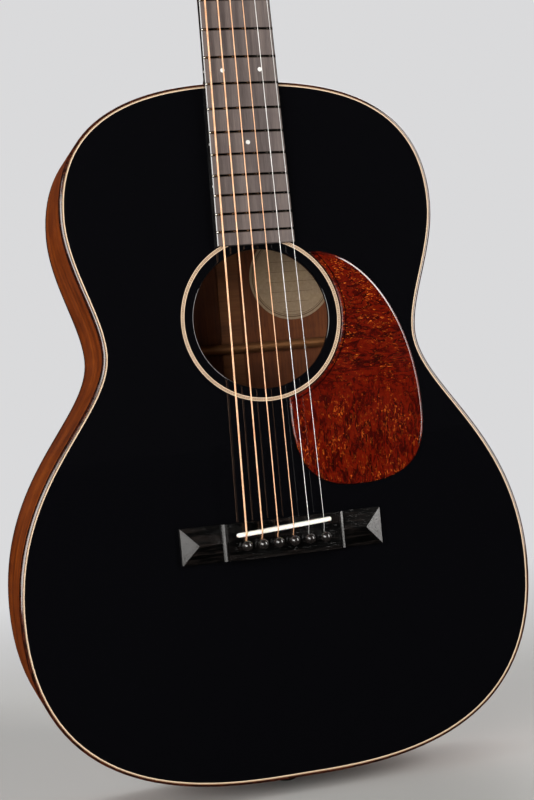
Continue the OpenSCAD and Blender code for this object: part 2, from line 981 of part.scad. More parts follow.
module headplate() {
    color([0.12, 0.06, 0.04]) placed()
        on_head()
            difference() {
                slab(-1.5, 0)
                    difference() {
                        head_plan();
                        translate([-40, -10])
                            square([80, 10.5]);
                    }
                for (i = [0 : string_count - 1])
                    peg(post_x(i), post_z(i), -3, 1, bushing_radius + 0.02, bushing_radius + 0.02);
            }
}

module truss_rod() {
    color([0.5, 0.5, 0.52]) placed() {
        rod(0, rod_y, neck_block_z, nut_z - 20, rod_radius);
        rod(0, rod_y, neck_block_z - 8, neck_block_z, rod_tip_radius);
        box(-rod_radius, rod_radius, rod_y - 5, rod_y + rod_radius, nut_z - 20, nut_z - 13);
    }
}

module truss_rod_nut() {
    color([0.75, 0.6, 0.3]) placed()
        difference() {
            rod(0, rod_y, neck_block_z - 14, neck_block_z - 1.5, rod_nut_radius);
            rod(0, rod_y, neck_block_z - 9, neck_block_z, rod_tip_radius + running_gap);
            translate([0, rod_y, neck_block_z - 15])
                cylinder(h = 5, r = 2.9, $fn = 6);
        }
}

module neck_bolts() {
    color([0.6, 0.6, 0.62]) placed()
        for (y = bolt_ys)
            difference() {
                union() {
                    rod(0, y, neck_block_z - 1.5, bolt_end_z, bolt_radius);
                    rod(0, y, neck_block_z - 1.6, neck_block_z, 9);
                    rod(0, y, neck_block_z - 6, neck_block_z - 1.6, 5.5);
                }
                translate([0, y, neck_block_z - 7])
                    cylinder(h = 4, r = 2.9, $fn = 6);
            }
}

// ---- tuners ----

screw_zs = [9.9, -15.8];

module tuner_plate(i) {
    s = post_side(i);
    on_head()
        translate([post_x(i), plate_y, post_z(i)])
            difference() {
                union() {
                    box(-7.5, 7.5, 0, 1.2, -18.5, 12.5);
                    for (x = [-5.8, 4.6])
                        box(x, x + 1.2, 0, 7.4, -worm_offset - 3, -worm_offset + 3);
                }
                peg(0, 0, -1, 3, post_radius + running_gap, post_radius + running_gap);
                translate([-20, gear_y - plate_y, -worm_offset])
                    rotate([0, 90, 0])
                        cylinder(h = 40, r = shaft_radius + running_gap);
                for (z = screw_zs)
                    peg(0, z, -1, 3, 1.1, 1.1);
            }
}

module tuner_plates() {
    color([0.75, 0.74, 0.7]) placed()
        for (i = [0 : string_count - 1])
            tuner_plate(i);
}

module tuner_screws() {
    color([0.75, 0.74, 0.7]) placed()
        for (i = [0 : string_count - 1])
            for (z = screw_zs)
                on_head()
                    difference() {
                        union() {
                            peg(post_x(i), post_z(i) + z, plate_y - 8, plate_y + 1.3, 1, 1);
                            peg(post_x(i), post_z(i) + z, plate_y + 1.2, plate_y + 2.3, 1.9, 1.3);
                        }
                        box(post_x(i) - 3, post_x(i) + 3, plate_y + 1.8, plate_y + 3,
                            post_z(i) + z - 0.2, post_z(i) + z + 0.2);
                    }
}

module tuner_bushings() {
    color([0.75, 0.74, 0.7]) placed()
        for (i = [0 : string_count - 1])
            on_head()
                difference() {
                    union() {
                        peg(post_x(i), post_z(i), -1.5, 6.5, bushing_radius, bushing_radius);
                        peg(post_x(i), post_z(i), -2.4, -1.5, 5.2, 5.8);
                    }
                    peg(post_x(i), post_z(i), -5, 10, post_radius + running_gap, post_radius + running_gap);
                }
}

// Gear whose rim swells and dips once a tooth, to run in the worm's rounded thread.
module gear_plan() {
    polygon([for (k = [0 : gear_teeth * 6 - 1]) let (a = k * 60 / gear_teeth)
        (gear_radius - worm_throw * cos(gear_teeth * (a + 90)) * 0.95) * [cos(a), sin(a)]]);
}

module tuner_post(i) {
    r = string_radii[i];
    color([0.78, 0.77, 0.74]) placed()
        on_head()
            translate([post_x(i), 0, post_z(i)]) {
                difference() {
                    union() {
                        peg(0, 0, post_top, gear_y + 1.6, post_radius, post_radius);
                        slab(gear_y - gear_thickness / 2, gear_y + gear_thickness / 2)
                            gear_plan();
                    }
                    peg(0, 0, post_top - 1, post_top + 2, 1.2, 1.2);
                    translate([0, post_top + 4.5, 0])
                        cylinder(h = 20, r = 0.9, center = true);
                    box(-5, 5, gear_y + 1, gear_y + 3, -0.3, 0.3);
                }
                for (k = [-1 : 1])
                    translate([0, wrap_y + 2.15 * r * k, 0])
                        rotate([90, 0, 0])
                            rotate_extrude()
                                translate([post_radius + 0.8 * r, 0])
                                    circle(r = r, $fn = 16);
            }
}

module tuner_post_1() {
    tuner_post(0);
}

module tuner_post_2() {
    tuner_post(1);
}

module tuner_post_3() {
    tuner_post(2);
}

module tuner_post_4() {
    tuner_post(3);
}

module tuner_post_5() {
    tuner_post(4);
}

module tuner_post_6() {
    tuner_post(5);
}

// Worm, shaft and button; drawn along +x from the post's centre line.
module tuner_knob(i) {
    s = post_side(i);
    color([0.88, 0.85, 0.76]) placed()
        on_head()
            translate([post_x(i), gear_y, post_z(i) - worm_offset]) {
                rotate([0, 90, 0])
                    translate([0, 0, -worm_length / 2])
                        linear_extrude(height = worm_length, twist = -360 * worm_length / worm_pitch, slices = 30, $fn = 10)
                            rotate(180 - 180 * worm_length / worm_pitch)
                                translate([worm_throw, 0])
                                    circle(r = worm_radius, $fn = 10);
                mirror([s < 0 ? 1 : 0, 0, 0])
                    rotate([0, 90, 0]) {
                        translate([0, 0, -7])
                            cylinder(h = 25, r = shaft_radius);
                        translate([0, 0, -7.6])
                            cylinder(h = 1.4, r = 2.2);
                        translate([0, 0, 6.2])
                            cylinder(h = 1.2, r = 2.2);
                        translate([0, 0, 16])
                            cylinder(h = 3, r1 = 2.2, r2 = 3.2);
                        translate([0, 0, 27])
                            rotate([90, 0, 0])
                                linear_extrude(height = 6.5, center = true)
                                    hull()
                                        for (w = [-1, 1])
                                            translate([2.5 * w, 0])
                                                circle(r = 8, $fn = 24);
                    }
            }
}

module tuner_knob_1() {
    tuner_knob(0);
}

module tuner_knob_2() {
    tuner_knob(1);
}

module tuner_knob_3() {
    tuner_knob(2);
}

module tuner_knob_4() {
    tuner_knob(3);
}

module tuner_knob_5() {
    tuner_knob(4);
}

module tuner_knob_6() {
    tuner_knob(5);
}

module strap_button() {
    color([0.05, 0.05, 0.05]) placed()
        translate([0, button_y, body_tail_z])
            rotate([180, 0, 0])
                rotate_extrude()
                    polygon([[0, -22], [2.6, -22], [3.3, 0], [7.5, 0], [7.5, 1.4], [4.8, 2.4], [4.4, 5], [4.8, 7.2],
                        [7, 8], [7, 12], [5.5, 13.2], [0, 13.6]]);
}

soundboard();
back_bass();
back_treble();
back_stripe();
side_bass();
side_treble();
tail_wedge();
top_binding();
back_binding();
top_purfling();
kerfed_linings();
tail_block();
neck_block();
x_braces();
transverse_brace();
tone_bars();
finger_braces();
back_braces();
back_reinforcement();
bridge_plate();
rosette();
pickguard();
label();
bridge();
saddle();
bridge_pin_1();
bridge_pin_2();
bridge_pin_3();
bridge_pin_4();
bridge_pin_5();
bridge_pin_6();
neck();
heel_cap();
fingerboard();
frets();
nut();
fret_markers();
headplate();
truss_rod();
truss_rod_nut();
neck_bolts();
wound_strings();
plain_strings();
ball_ends();
tuner_plates();
tuner_screws();
tuner_bushings();
tuner_post_1();
tuner_post_2();
tuner_post_3();
tuner_post_4();
tuner_post_5();
tuner_post_6();
tuner_knob_1();
tuner_knob_2();
tuner_knob_3();
tuner_knob_4();
tuner_knob_5();
tuner_knob_6();
strap_button();
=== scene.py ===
"""Looks of the acoustic guitar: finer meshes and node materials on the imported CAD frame.

Shapes are worked out in millimetres from the CAD's own datum: the soundboard's face, on the centreline, under
the twelfth fret, with -Y to the front, +X to the treble side and +Z up the neck. at() moves them to the row
frame, in metres.
"""

import math

import bmesh
import bpy
from mathutils import Matrix, Vector


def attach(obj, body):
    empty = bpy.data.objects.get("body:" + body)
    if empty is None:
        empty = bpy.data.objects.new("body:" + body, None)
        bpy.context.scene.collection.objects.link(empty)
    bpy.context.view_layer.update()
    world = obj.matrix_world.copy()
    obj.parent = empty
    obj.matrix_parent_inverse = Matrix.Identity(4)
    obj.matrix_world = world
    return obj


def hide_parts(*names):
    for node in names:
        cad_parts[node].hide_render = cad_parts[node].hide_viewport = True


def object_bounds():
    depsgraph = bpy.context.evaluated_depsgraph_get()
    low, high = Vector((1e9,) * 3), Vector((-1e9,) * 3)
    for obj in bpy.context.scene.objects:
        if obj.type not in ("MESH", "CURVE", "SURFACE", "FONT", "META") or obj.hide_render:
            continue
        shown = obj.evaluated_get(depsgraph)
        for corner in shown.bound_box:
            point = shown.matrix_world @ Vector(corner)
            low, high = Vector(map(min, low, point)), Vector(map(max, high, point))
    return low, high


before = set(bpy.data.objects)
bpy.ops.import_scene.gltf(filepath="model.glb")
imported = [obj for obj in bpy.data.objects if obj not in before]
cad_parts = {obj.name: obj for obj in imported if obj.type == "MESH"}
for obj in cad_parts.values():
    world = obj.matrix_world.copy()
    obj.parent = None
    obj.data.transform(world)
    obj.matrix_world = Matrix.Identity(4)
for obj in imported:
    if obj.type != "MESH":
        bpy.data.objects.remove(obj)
cad_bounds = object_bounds()

MM = 0.001
BUTTON_Y = 51
BODY_TOP_Z = 2.6
BODY_TAIL_Z = -506.2
BUTTON_DROP = 10
BUTTON_BORE = 3.5
HOME = Vector((0, -BUTTON_Y, BUTTON_DROP - BODY_TAIL_Z))
STATIC = "guitar"

# Neck and strings
SCALE = 645.16
NUT_Z = SCALE / 2
NUT_WIDTH = 44.45
NUT_LENGTH = 5
HEAD_Z = NUT_Z + NUT_LENGTH
BOARD_TAPER = 0.0321
BOARD_THICK = 6.6
BOARD_RADIUS = 406.4
BOARD_END_Z = -117
FRET_COUNT = 19
FRET_CROWN = 1.1
FRET_HALF = 1.0
FRET_BEVEL = 1.3
TANG_HALF = 0.3
TANG_DEPTH = 1.8
HEAD_TILT = math.radians(15)
ROD_HALF, ROD_TOP, ROD_BOTTOM = 3.3, 4.3, 10.9
BOLT_YS = (26, 46)
BOLT_BORE = 3.1
BLOCK_Z = -39
SADDLE_Z = -323.2
SADDLE_SLANT = math.radians(3.75)
SADDLE_TOP = 13
SADDLE_BOTTOM = 3.5
SADDLE_LENGTH = 72
SADDLE_WIDTH = 3.2
SPREAD_NUT = 38.1
SPREAD_SADDLE = 58.6
STRING_RADII = [0.68, 0.53, 0.41, 0.31, 0.21, 0.16]
WOUND = 4

# Body
LINE_INSET = 2.5
BINDING_W = 1.8
BINDING_H = 6.3
SIDE_LINE = 0.55
PURFLING_W = 1.4
PURFLING_D = 1.5
SIDE_T = 2.4
TOP_T = 2.8
BACK_T = 2.6
DOME_R = 4572
HEEL_DEPTH = 87
TAIL_DEPTH = 103
HOLE_Z = -171.2
HOLE_R = 50.8
ROSETTE_IN = 57.4
ROSETTE_OUT = 60.4
ROSETTE_D = 1.2
STRIPE_HALF = 3
TAIL_ZS = (-520, -480)
UPPER, WAIST, LOWER = 137.56, 115.95, 189.96
BOUT_ZS = [0.08, -91.43, -188.12, -368.83, -503.68]
BODY_CURVES = [
    [(0, BOUT_ZS[0]), (49.3, BOUT_ZS[0]), (UPPER, BOUT_ZS[1] + 86.5), (UPPER, BOUT_ZS[1])],
    [(UPPER, BOUT_ZS[1]), (UPPER, BOUT_ZS[1] - 35.2), (WAIST, BOUT_ZS[2] + 27.7), (WAIST, BOUT_ZS[2])],
    [(WAIST, BOUT_ZS[2]), (WAIST, BOUT_ZS[2] - 45.1), (LOWER, BOUT_ZS[3] + 99), (LOWER, BOUT_ZS[3])],
    [(LOWER, BOUT_ZS[3]), (LOWER, BOUT_ZS[3] - 140), (53.4, BOUT_ZS[4]), (0, BOUT_ZS[4])],
]
CURVE_STEPS = 36

# Pickguard
GUARD_CURVES = [
    [(42.2, -124.5), (78.3, -124.5), (117.4, -172.4), (117.4, -247.9)],
    [(117.4, -247.9), (117.4, -282.8), (102, -298.2), (62.2, -298.2)],
    [(62.2, -298.2), (23.7, -298.2), (13.2, -276), (15.2, -230.6)],
]
GUARD_T = 1.6
GUARD_GAP = 0.7
# Radius of the dark arc painted on the guard round the soundhole, a painted reflection of the rosette's edge.
GUARD_REFLECTION_R = 63.8

# Bridge and pins
BRIDGE_HALF = 75.7
BRIDGE_HIGH_Z = -316.9
BRIDGE_LOW_Z = -343.6
BRIDGE_H = 8.5
PLATE_T = 2.5
PIN_Z = -333.3
PIN_TOP_R = 2.7
PIN_TIP_R = 2.18
PIN_LENGTH = 20
PIN_BALL_R = 3.9
PIN_LIFT = 4.3

# Headstock and tuners
HEAD_THICK = 14
HEAD_LENGTH = 178
TUNER_ZS = [42, 84, 126]
POST_R = 3
BUSHING_BORE = 4.52
POST_TOP = -17
WRAP_Y = -6
STRING_TURNS = 3
GEAR_TEETH = 16
WORM_PITCH = 2.513
WORM_R = 2.3
WORM_THROW = 0.7
WORM_LENGTH = 8.8
GEAR_R = GEAR_TEETH * WORM_PITCH / (2 * math.pi)
WORM_OFFSET = GEAR_R + WORM_R + 0.4
GEAR_Y = HEAD_THICK + 4.6
BUTTON_R = 8
BUTTON_STRAIGHT = 2.5
BUTTON_REACH = 27


def at(p):
    return (Vector(p) + HOME) * MM


# ---------------------------------------------------------------- curves and meshes


def bezier(c, t):
    s = 1 - t
    w = (s**3, 3 * s * s * t, 3 * s * t * t, t**3)
    return tuple(sum(w[k] * c[k][a] for k in range(4)) for a in range(2))


def bezier_heading(c, t):
    s = 1 - t
    w = (s * s, 2 * s * t, t * t)
    d = [sum(w[k] * (c[k + 1][a] - c[k][a]) for k in range(3)) for a in range(2)]
    size = math.hypot(*d)
    return d[0] / size, d[1] / size


class Shape:
    """Points in millimetres, faces, the faces' corner [u, v] in metres and the faces' material numbers."""

    def __init__(self):
        self.points = []
        self.faces = []
        self.uvs = []
        self.kinds = []

    def add(self, points):
        start = len(self.points)
        self.points += [tuple(p) for p in points]
        return start

    def face(self, corners, uvs=None, kind=0):
        self.faces.append(corners)
        self.uvs.append(uvs or [(0, 0)] * len(corners))
        self.kinds.append(kind)


def running(points, closed=False):
    """Distance along a line of points, in metres."""
    out = [0]
    chain = points + [points[0]] if closed else points
    for a, b in zip(chain, chain[1:]):
        out.append(out[-1] + math.dist(a, b) * MM)
    return out


def loft(shape, rings, path_closed=False, caps=True, kinds=None, us=None):
    """Skins rings of equally many points; kinds names the material of each band along the ring."""
    n, m = len(rings), len(rings[0])
    us = us or running([r[0] for r in rings], path_closed)
    vs = running(list(rings[0]), True)
    base = shape.add([p for r in rings for p in r])
    for i in range(n if path_closed else n - 1):
        a, b = base + i * m, base + ((i + 1) % n) * m
        for j in range(m):
            k = (j + 1) % m
            uv = [(us[i], vs[j]), (us[i], vs[j + 1]), (us[i + 1], vs[j + 1]), (us[i + 1], vs[j])]
            shape.face([a + j, a + k, b + k, b + j], uv, kinds[j] if kinds else 0)
    if caps and not path_closed:
        for row in (0, n - 1):
            flat = [(p[0] * MM, p[2] * MM) for p in rings[row]]
            shape.face([base + row * m + j for j in range(m)], flat)


def spin(shape, profile, place, sides=48, kinds=None, closed=False):
    """Turns a profile of [radius, height] about an axis; place(a, b, h) gives the point."""
    heights = running([(r, h) for r, h in profile], closed)
    around = [2 * math.pi * k / sides for k in range(sides)]
    rows = []
    for r, h in profile:
        spots = [place(0, 0, h)] if r < 1e-6 else [place(r * math.cos(a), r * math.sin(a), h) for a in around]
        rows.append([shape.add([p]) for p in spots])
    pairs = list(range(len(profile) - 1)) + ([len(profile) - 1] if closed else [])
    for i in pairs:
        a, b = rows[i], rows[(i + 1) % len(rows)]
        size = max(profile[i][0], profile[(i + 1) % len(rows)][0]) * MM
        for k in range(sides):
            m = (k + 1) % sides
            u0, u1 = size * 2 * math.pi * k / sides, size * 2 * math.pi * (k + 1) / sides
            v0, v1 = heights[i], heights[i + 1]
            kind = kinds[i] if kinds else 0
            if len(a) == 1 and len(b) == 1:
                continue
            if len(a) == 1:
                shape.face([a[0], b[m], b[k]], [(u0, v0), (u1, v1), (u0, v1)], kind)
            elif len(b) == 1:
                shape.face([a[k], a[m], b[0]], [(u0, v0), (u1, v0), (u0, v1)], kind)
            else:
                shape.face([a[k], a[m], b[m], b[k]], [(u0, v0), (u1, v0), (u1, v1), (u0, v1)], kind)
    if not closed:
        for row in (rows[0], rows[-1]):
            if len(row) > 1:
                shape.face(row, None, kinds[0] if kinds else 0)


def tube(shape, path, radius, sides=10, kind=0):
    """Round wire along a path."""
    path = [Vector(p) for p in path]
    side = Vector((1, 0, 0))
    rings = []
    for i, p in enumerate(path):
        before = (p - path[i - 1]).normalized() if i > 0 else None
        after = (path[i + 1] - p).normalized() if i + 1 < len(path) else None
        heading = ((before or after) + (after or before)).normalized()
        side = (side - heading * side.dot(heading)).normalized()
        up = heading.cross(side)
        turn = [2 * math.pi * k / sides for k in range(sides)]
        rings.append([p + radius * (math.cos(a) * side + math.sin(a) * up) for a in turn])
    loft(shape, rings, kinds=[kind] * sides)


def box(shape, low, high):
    x0, y0, z0 = low
    x1, y1, z1 = high
    loft(shape, [[(x0, y0, z), (x1, y0, z), (x1, y1, z), (x0, y1, z)] for z in (z0, z1)])


def make_mesh(name, shape):
    mesh = bpy.data.meshes.new(name)
    mesh.from_pydata([at(p) for p in shape.points], [], shape.faces)
    layer = mesh.uv_layers.new(name="UVMap")
    flat = [c for uv in shape.uvs for pair in uv for c in pair]
    layer.data.foreach_set("uv", flat)
    mesh.polygons.foreach_set("material_index", shape.kinds)
    work = bmesh.new()
    work.from_mesh(mesh)
    bmesh.ops.recalc_face_normals(work, faces=work.faces)
    work.to_mesh(mesh)
    work.free()
    obj = bpy.data.objects.new(name, mesh)
    bpy.context.scene.collection.objects.link(obj)
    return obj


def boolean(obj, shape, operation="DIFFERENCE"):
    """Cuts, joins or keeps by another shape, and applies it."""
    tool = make_mesh("tool", shape)
    step = obj.modifiers.new("cut", "BOOLEAN")
    step.operation = operation
    step.solver = "EXACT"
    step.object = tool
    bpy.context.view_layer.update()
    result = bpy.data.meshes.new_from_object(obj.evaluated_get(bpy.context.evaluated_depsgraph_get()))
    obj.modifiers.clear()
    old = obj.data
    obj.data = result
    bpy.data.meshes.remove(old)
    bpy.data.objects.remove(tool)
    return obj


def dress(obj, materials, sharp=35, bevel=0.0, segments=2, bevel_angle=38):
    """Gives an object its materials, smooth shading with sharp corners, and softened edges."""
    slots = obj.data.materials
    for k, m in enumerate(materials):
        if k < len(slots):
            slots[k] = m
        else:
            slots.append(m)
    obj.data.shade_smooth()
    obj.data.set_sharp_from_angle(angle=math.radians(sharp))
    if bevel:
        soft = obj.modifiers.new("soft_edges", "BEVEL")
        soft.width = bevel * MM
        soft.segments = segments
        soft.limit_method = "ANGLE"
        soft.angle_limit = math.radians(bevel_angle)
    level = obj.modifiers.new("flat_faces", "WEIGHTED_NORMAL")
    level.keep_sharp = True
    level.weight = 80


def show(obj, node, materials, slot, body=STATIC, sharp=35, bevel=0.0, bevel_angle=38):
    """Makes an object stand for a CAD node."""
    dress(obj, materials, sharp, bevel, bevel_angle=bevel_angle)
    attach(obj, body)
    if node:
        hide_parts(node)
    return obj


def stand_in(node, shape, materials, slot, body=STATIC, sharp=35, bevel=0.0):
    return show(make_mesh(node + "_visual", shape), node, materials, slot, body, sharp, bevel)


# ---------------------------------------------------------------- materials


def srgb(r, g, b):
    def one(c):
        c /= 255
        return c / 12.92 if c <= 0.04045 else ((c + 0.055) / 1.055) ** 2.4

    return (one(r), one(g), one(b), 1)


def darker(colour, share):
    return tuple(share * c for c in colour[:3]) + (1,)


class Paint:
    """A material's node tree, with short calls for the nodes used here."""

    def __init__(self, name, source="Object"):
        self.material = bpy.data.materials.new(name)
        self.material.use_nodes = True
        self.tree = self.material.node_tree
        self.tree.nodes.clear()
        self.place = self.node("ShaderNodeTexCoord").outputs[source]

    def node(self, kind, inputs=None, **settings):
        n = self.tree.nodes.new(kind)
        for key, value in settings.items():
            setattr(n, key, value)
        for key, value in (inputs or {}).items():
            if isinstance(value, bpy.types.NodeSocket):
                self.tree.links.new(value, n.inputs[key])
            else:
                n.inputs[key].default_value = value
        return n

    def scaled(self, scale, turn=(0, 0, 0), shift=(0, 0, 0)):
        inputs = {"Vector": self.place, "Scale": scale, "Rotation": turn, "Location": shift}
        return self.node("ShaderNodeMapping", inputs).outputs["Vector"]

    def noise(self, scale, detail=3.0, rough=0.5, twist=0.0, turn=(0, 0, 0), shift=(0, 0, 0)):
        inputs = {"Vector": self.scaled(scale, turn, shift), "Scale": 1.0, "Detail": detail,
                  "Roughness": rough, "Distortion": twist}
        return self.node("ShaderNodeTexNoise", inputs).outputs["Fac"]

    def xyz(self):
        return self.node("ShaderNodeSeparateXYZ", {"Vector": self.place}).outputs

    def math(self, operation, a, b=0.0):
        return self.node("ShaderNodeMath", {0: a, 1: b}, operation=operation).outputs[0]

    def add(self, a, b):
        return self.math("ADD", a, b)

    def minus(self, a, b):
        return self.math("SUBTRACT", a, b)

    def times(self, a, b):
        return self.math("MULTIPLY", a, b)

    def offsets(self, x, z):
        """How far right of and above a point, given in millimetres, each spot lies."""
        centre = at((x, 0, z))
        spot = self.xyz()
        return self.minus(spot["X"], centre.x), self.minus(spot["Z"], centre.z)

    def length(self, a, b):
        return self.math("SQRT", self.add(self.times(a, a), self.times(b, b)))

    def size(self, a):
        return self.math("ABSOLUTE", a)

    def span(self, value, low, high, to_low=0.0, to_high=1.0):
        inputs = {"Value": value, "From Min": low, "From Max": high, "To Min": to_low, "To Max": to_high}
        return self.node("ShaderNodeMapRange", inputs, clamp=True).outputs["Result"]

    def ramp(self, value, stops):
        n = self.node("ShaderNodeValToRGB", {"Fac": value})
        while len(n.color_ramp.elements) < len(stops):
            n.color_ramp.elements.new(0.5)
        for element, (spot, colour) in zip(n.color_ramp.elements, stops):
            element.position = spot
            element.color = colour
        return n.outputs["Color"]

    def mix(self, share, a, b, kind="MIX"):
        n = self.node("ShaderNodeMix", data_type="RGBA", blend_type=kind)
        for key, value in ((0, share), (6, a), (7, b)):
            if isinstance(value, bpy.types.NodeSocket):
                self.tree.links.new(value, n.inputs[key])
            else:
                n.inputs[key].default_value = value
        return n.outputs[2]

    def bump(self, height, strength, depth_mm):
        inputs = {"Height": height, "Strength": strength, "Distance": depth_mm * MM}
        return self.node("ShaderNodeBump", inputs).outputs["Normal"]

    def finish(self, colour, rough, normal=None, **more):
        inputs = {"Base Color": colour, "Roughness": rough}
        if normal:
            inputs["Normal"] = normal
        for key, value in more.items():
            inputs[key.replace("_", " ")] = value
        shader = self.node("ShaderNodeBsdfPrincipled", inputs)
        self.node("ShaderNodeOutputMaterial", {"Surface": shader.outputs[0]})
        return self.material


GRAIN_STRETCH = 0.045
ALONG_Z = (1, 1, GRAIN_STRETCH)
ALONG_X = (GRAIN_STRETCH, 1, 1)
ALONG_U = ALONG_X


def stretch(along, scale):
    return tuple(scale * a for a in along)


def wood(name, dark, mid, light, along=ALONG_Z, source="Object", rough=0.5, coat=0.0, pores=0.6, figure=0.5,
         line=650, turn=(0, 0, 0), coat_rough=0.08, coat_ior=1.5):
    """Straight-grained wood: growth lines, broad bands of tone, cross figure and open pores."""
    p = Paint(name, source)
    lines = p.noise(stretch(along, line), 4, 0.6, 0.3, turn)
    bands = p.noise(stretch(along, line * 0.14), 2, 0.5, 0.6, turn)
    drift = p.noise((9, 9, 9), 2)
    ribbon = p.noise(tuple(60 if a < 1 else 22 for a in along), 2, 0.5, 0.8, turn)
    tone = p.add(p.times(lines, 0.45), p.times(bands, 0.55))
    tone = p.add(tone, p.times(p.minus(ribbon, 0.5), 0.35 * figure))
    tone = p.add(tone, p.times(p.minus(drift, 0.5), 0.3))
    colour = p.ramp(tone, [(0.32, dark), (0.5, mid), (0.68, light)])
    specks = p.noise(tuple(3200 if a == 1 else 160 for a in along), 2, 0.6, 0, turn)
    pore = p.span(specks, 0.60, 0.70)
    colour = p.mix(p.times(pore, pores), colour, darker(dark, 0.25))
    skin = p.minus(p.times(lines, 0.3), pore)
    depth = 0.02 if coat > 0.3 else 0.06
    normal = p.bump(skin, 0.5, depth)
    wear = p.noise((35, 35, 35), 3)
    gloss = p.span(wear, 0.3, 0.7, rough - 0.06, rough + 0.08)
    return p.finish(colour, gloss, normal, Coat_Weight=coat, Coat_Roughness=coat_rough, Coat_IOR=coat_ior)


def lacquer():
    p = Paint("black_lacquer")
    swell = p.noise((14, 14, 14), 1)
    haze = p.noise((60, 60, 60), 4)
    dust = p.span(p.noise((900, 900, 900), 1), 0.74, 0.8)
    colour = p.mix(p.times(dust, 0.03), srgb(6, 6, 8), srgb(120, 116, 110))
    gloss = p.span(haze, 0.3, 0.7, 0.045, 0.075)
    return p.finish(colour, gloss, p.bump(swell, 0.12, 0.6), Coat_Weight=0.3, Coat_Roughness=0.03)


def tortoise(name, deep, red, orange, amber, size=1.0, reflection_arc=None):
    """Celluloid: smoky swirls and amber flecks under a polished face, and perhaps a dark arc round the
    soundhole, a painted reflection of the rosette's edge.
    """
    p = Paint(name)
    level = p.span(p.xyz()["Z"], at((0, 0, HOLE_Z - 75)).z, at((0, 0, HOLE_Z - 35)).z)

    def dragged(fine, coarse, twist, shift):
        """Noise drawn out sideways in the upper part and upwards in the lower part."""
        across = p.noise((coarse * size, coarse * size, fine * size), 4, 0.55, twist, (0, 0.25, 0), shift)
        upward = p.noise((fine * size, fine * size, coarse * size), 4, 0.55, twist, (0, 0.35, 0), shift)
        upward = p.times(upward, p.minus(1.0, level))
        return p.add(p.times(across, level), upward)

    swirl = dragged(210, 80, 1.6, (0, 0, 0))
    cloud = p.noise((38 * size, 38 * size, 38 * size), 3, 0.5, 1.2)
    body = p.add(p.times(swirl, 0.75), p.times(cloud, 0.25))
    colour = p.ramp(body, [(0.34, deep), (0.47, red), (0.58, orange), (0.68, red)])
    fleck = dragged(480, 200, 2.2, (2, 5, 1))
    patch = p.span(cloud, 0.44, 0.6, 0.15, 0.9)
    colour = p.mix(p.times(p.span(fleck, 0.585, 0.68), patch), colour, amber)
    smoke = dragged(150, 80, 2.0, (3, 1, 7))
    colour = p.mix(p.times(p.span(smoke, 0.56, 0.68), 0.55), colour, deep)
    # Painted reflection: a dark arc round the soundhole's centre, standing for the rosette's edge reflected
    # in the guard.
    if reflection_arc:
        off = p.size(p.minus(p.length(*p.offsets(0, HOLE_Z)), reflection_arc * MM))
        colour = p.mix(p.span(off, 0.25 * MM, 0.6 * MM, 0.92, 0), colour, darker(deep, 0.3))
    haze = p.noise((40, 40, 40), 3)
    normal = p.bump(p.noise((25, 25, 25), 1), 0.1, 0.4)
    return p.finish(colour, p.span(haze, 0.3, 0.7, 0.10, 0.16), normal, Coat_Weight=0.5, Coat_Roughness=0.05)


def rope(name, pitch_mm, light, tan):
    """Herringbone strip: slanted light and tan dashes along u, mirrored about the middle of v."""
    p = Paint(name, "UV")
    spot = p.xyz()
    slant = p.times(p.size(spot["Y"]), 0.8)
    run = p.math("DIVIDE", p.add(spot["X"], slant), pitch_mm * MM)
    dash = p.math("SINE", p.times(run, 2 * math.pi))
    grain = p.noise((1500, 1500, 1), 2)
    tone = p.mix(p.span(dash, -0.35, 0.35), tan, light)
    tone = p.mix(p.span(grain, 0.3, 0.8, 0, 0.3), tone, tan)
    return p.finish(tone, 0.35, None, Coat_Weight=0.6, Coat_Roughness=0.06)


def plain_ply(name, tone, shade):
    p = Paint(name, "UV")
    grain = p.noise((60, 1800, 1), 3)
    return p.finish(p.mix(grain, tone, shade), 0.35, None, Coat_Weight=0.6, Coat_Roughness=0.06)


def bone():
    p = Paint("bone")
    streak = p.noise((60, 900, 900), 3, 0.5, 0.2)
    cloud = p.noise((120, 120, 120), 2)
    tone = p.add(p.times(streak, 0.6), p.times(cloud, 0.4))
    stops = [(0.25, srgb(232, 222, 204)), (0.5, srgb(250, 246, 238)), (0.8, srgb(255, 253, 248))]
    colour = p.ramp(tone, stops)
    normal = p.bump(streak, 0.25, 0.03)
    return p.finish(colour, p.span(cloud, 0.3, 0.7, 0.28, 0.4), normal, Subsurface_Weight=0.15,
                    Subsurface_Scale=0.002)


def metal(name, tone, shade, rough, scratch=0.25, source="Object", along=(1, 1, 1), scale=400, shine=1.0):
    p = Paint(name, source)
    brush = p.noise(stretch(along, scale * 4), 3, 0.6)
    tarnish = p.noise((scale * 0.25,) * 3, 4, 0.6)
    colour = p.mix(p.span(tarnish, 0.35, 0.75), tone, shade)
    normal = p.bump(brush, scratch, 0.01)
    return p.finish(colour, p.span(tarnish, 0.3, 0.7, rough * 0.8, rough * 1.4), normal, Metallic=shine)


def winding(name, tone, shade, pitch_mm):
    """Wire wrapped round a core: close turns along u, with painted shade in the grooves between them."""
    p = Paint(name, "UV")
    spot = p.xyz()
    lead = p.times(spot["Y"], 0.3)
    turn = p.math("DIVIDE", p.add(spot["X"], lead), pitch_mm * MM)
    wave = p.size(p.math("SINE", p.times(turn, math.pi)))
    tarnish = p.noise((90, 90, 90), 3)
    colour = p.mix(p.span(tarnish, 0.35, 0.7), tone, shade)
    # Painted shade: the colour darkens in the grooves between the turns.
    colour = p.mix(p.span(wave, 0.0, 0.4, 0.5, 0.0), colour, darker(shade, 0.4))
    normal = p.bump(wave, 0.5, 0.08)
    return p.finish(colour, p.span(tarnish, 0.3, 0.7, 0.38, 0.5), normal, Metallic=0.55)


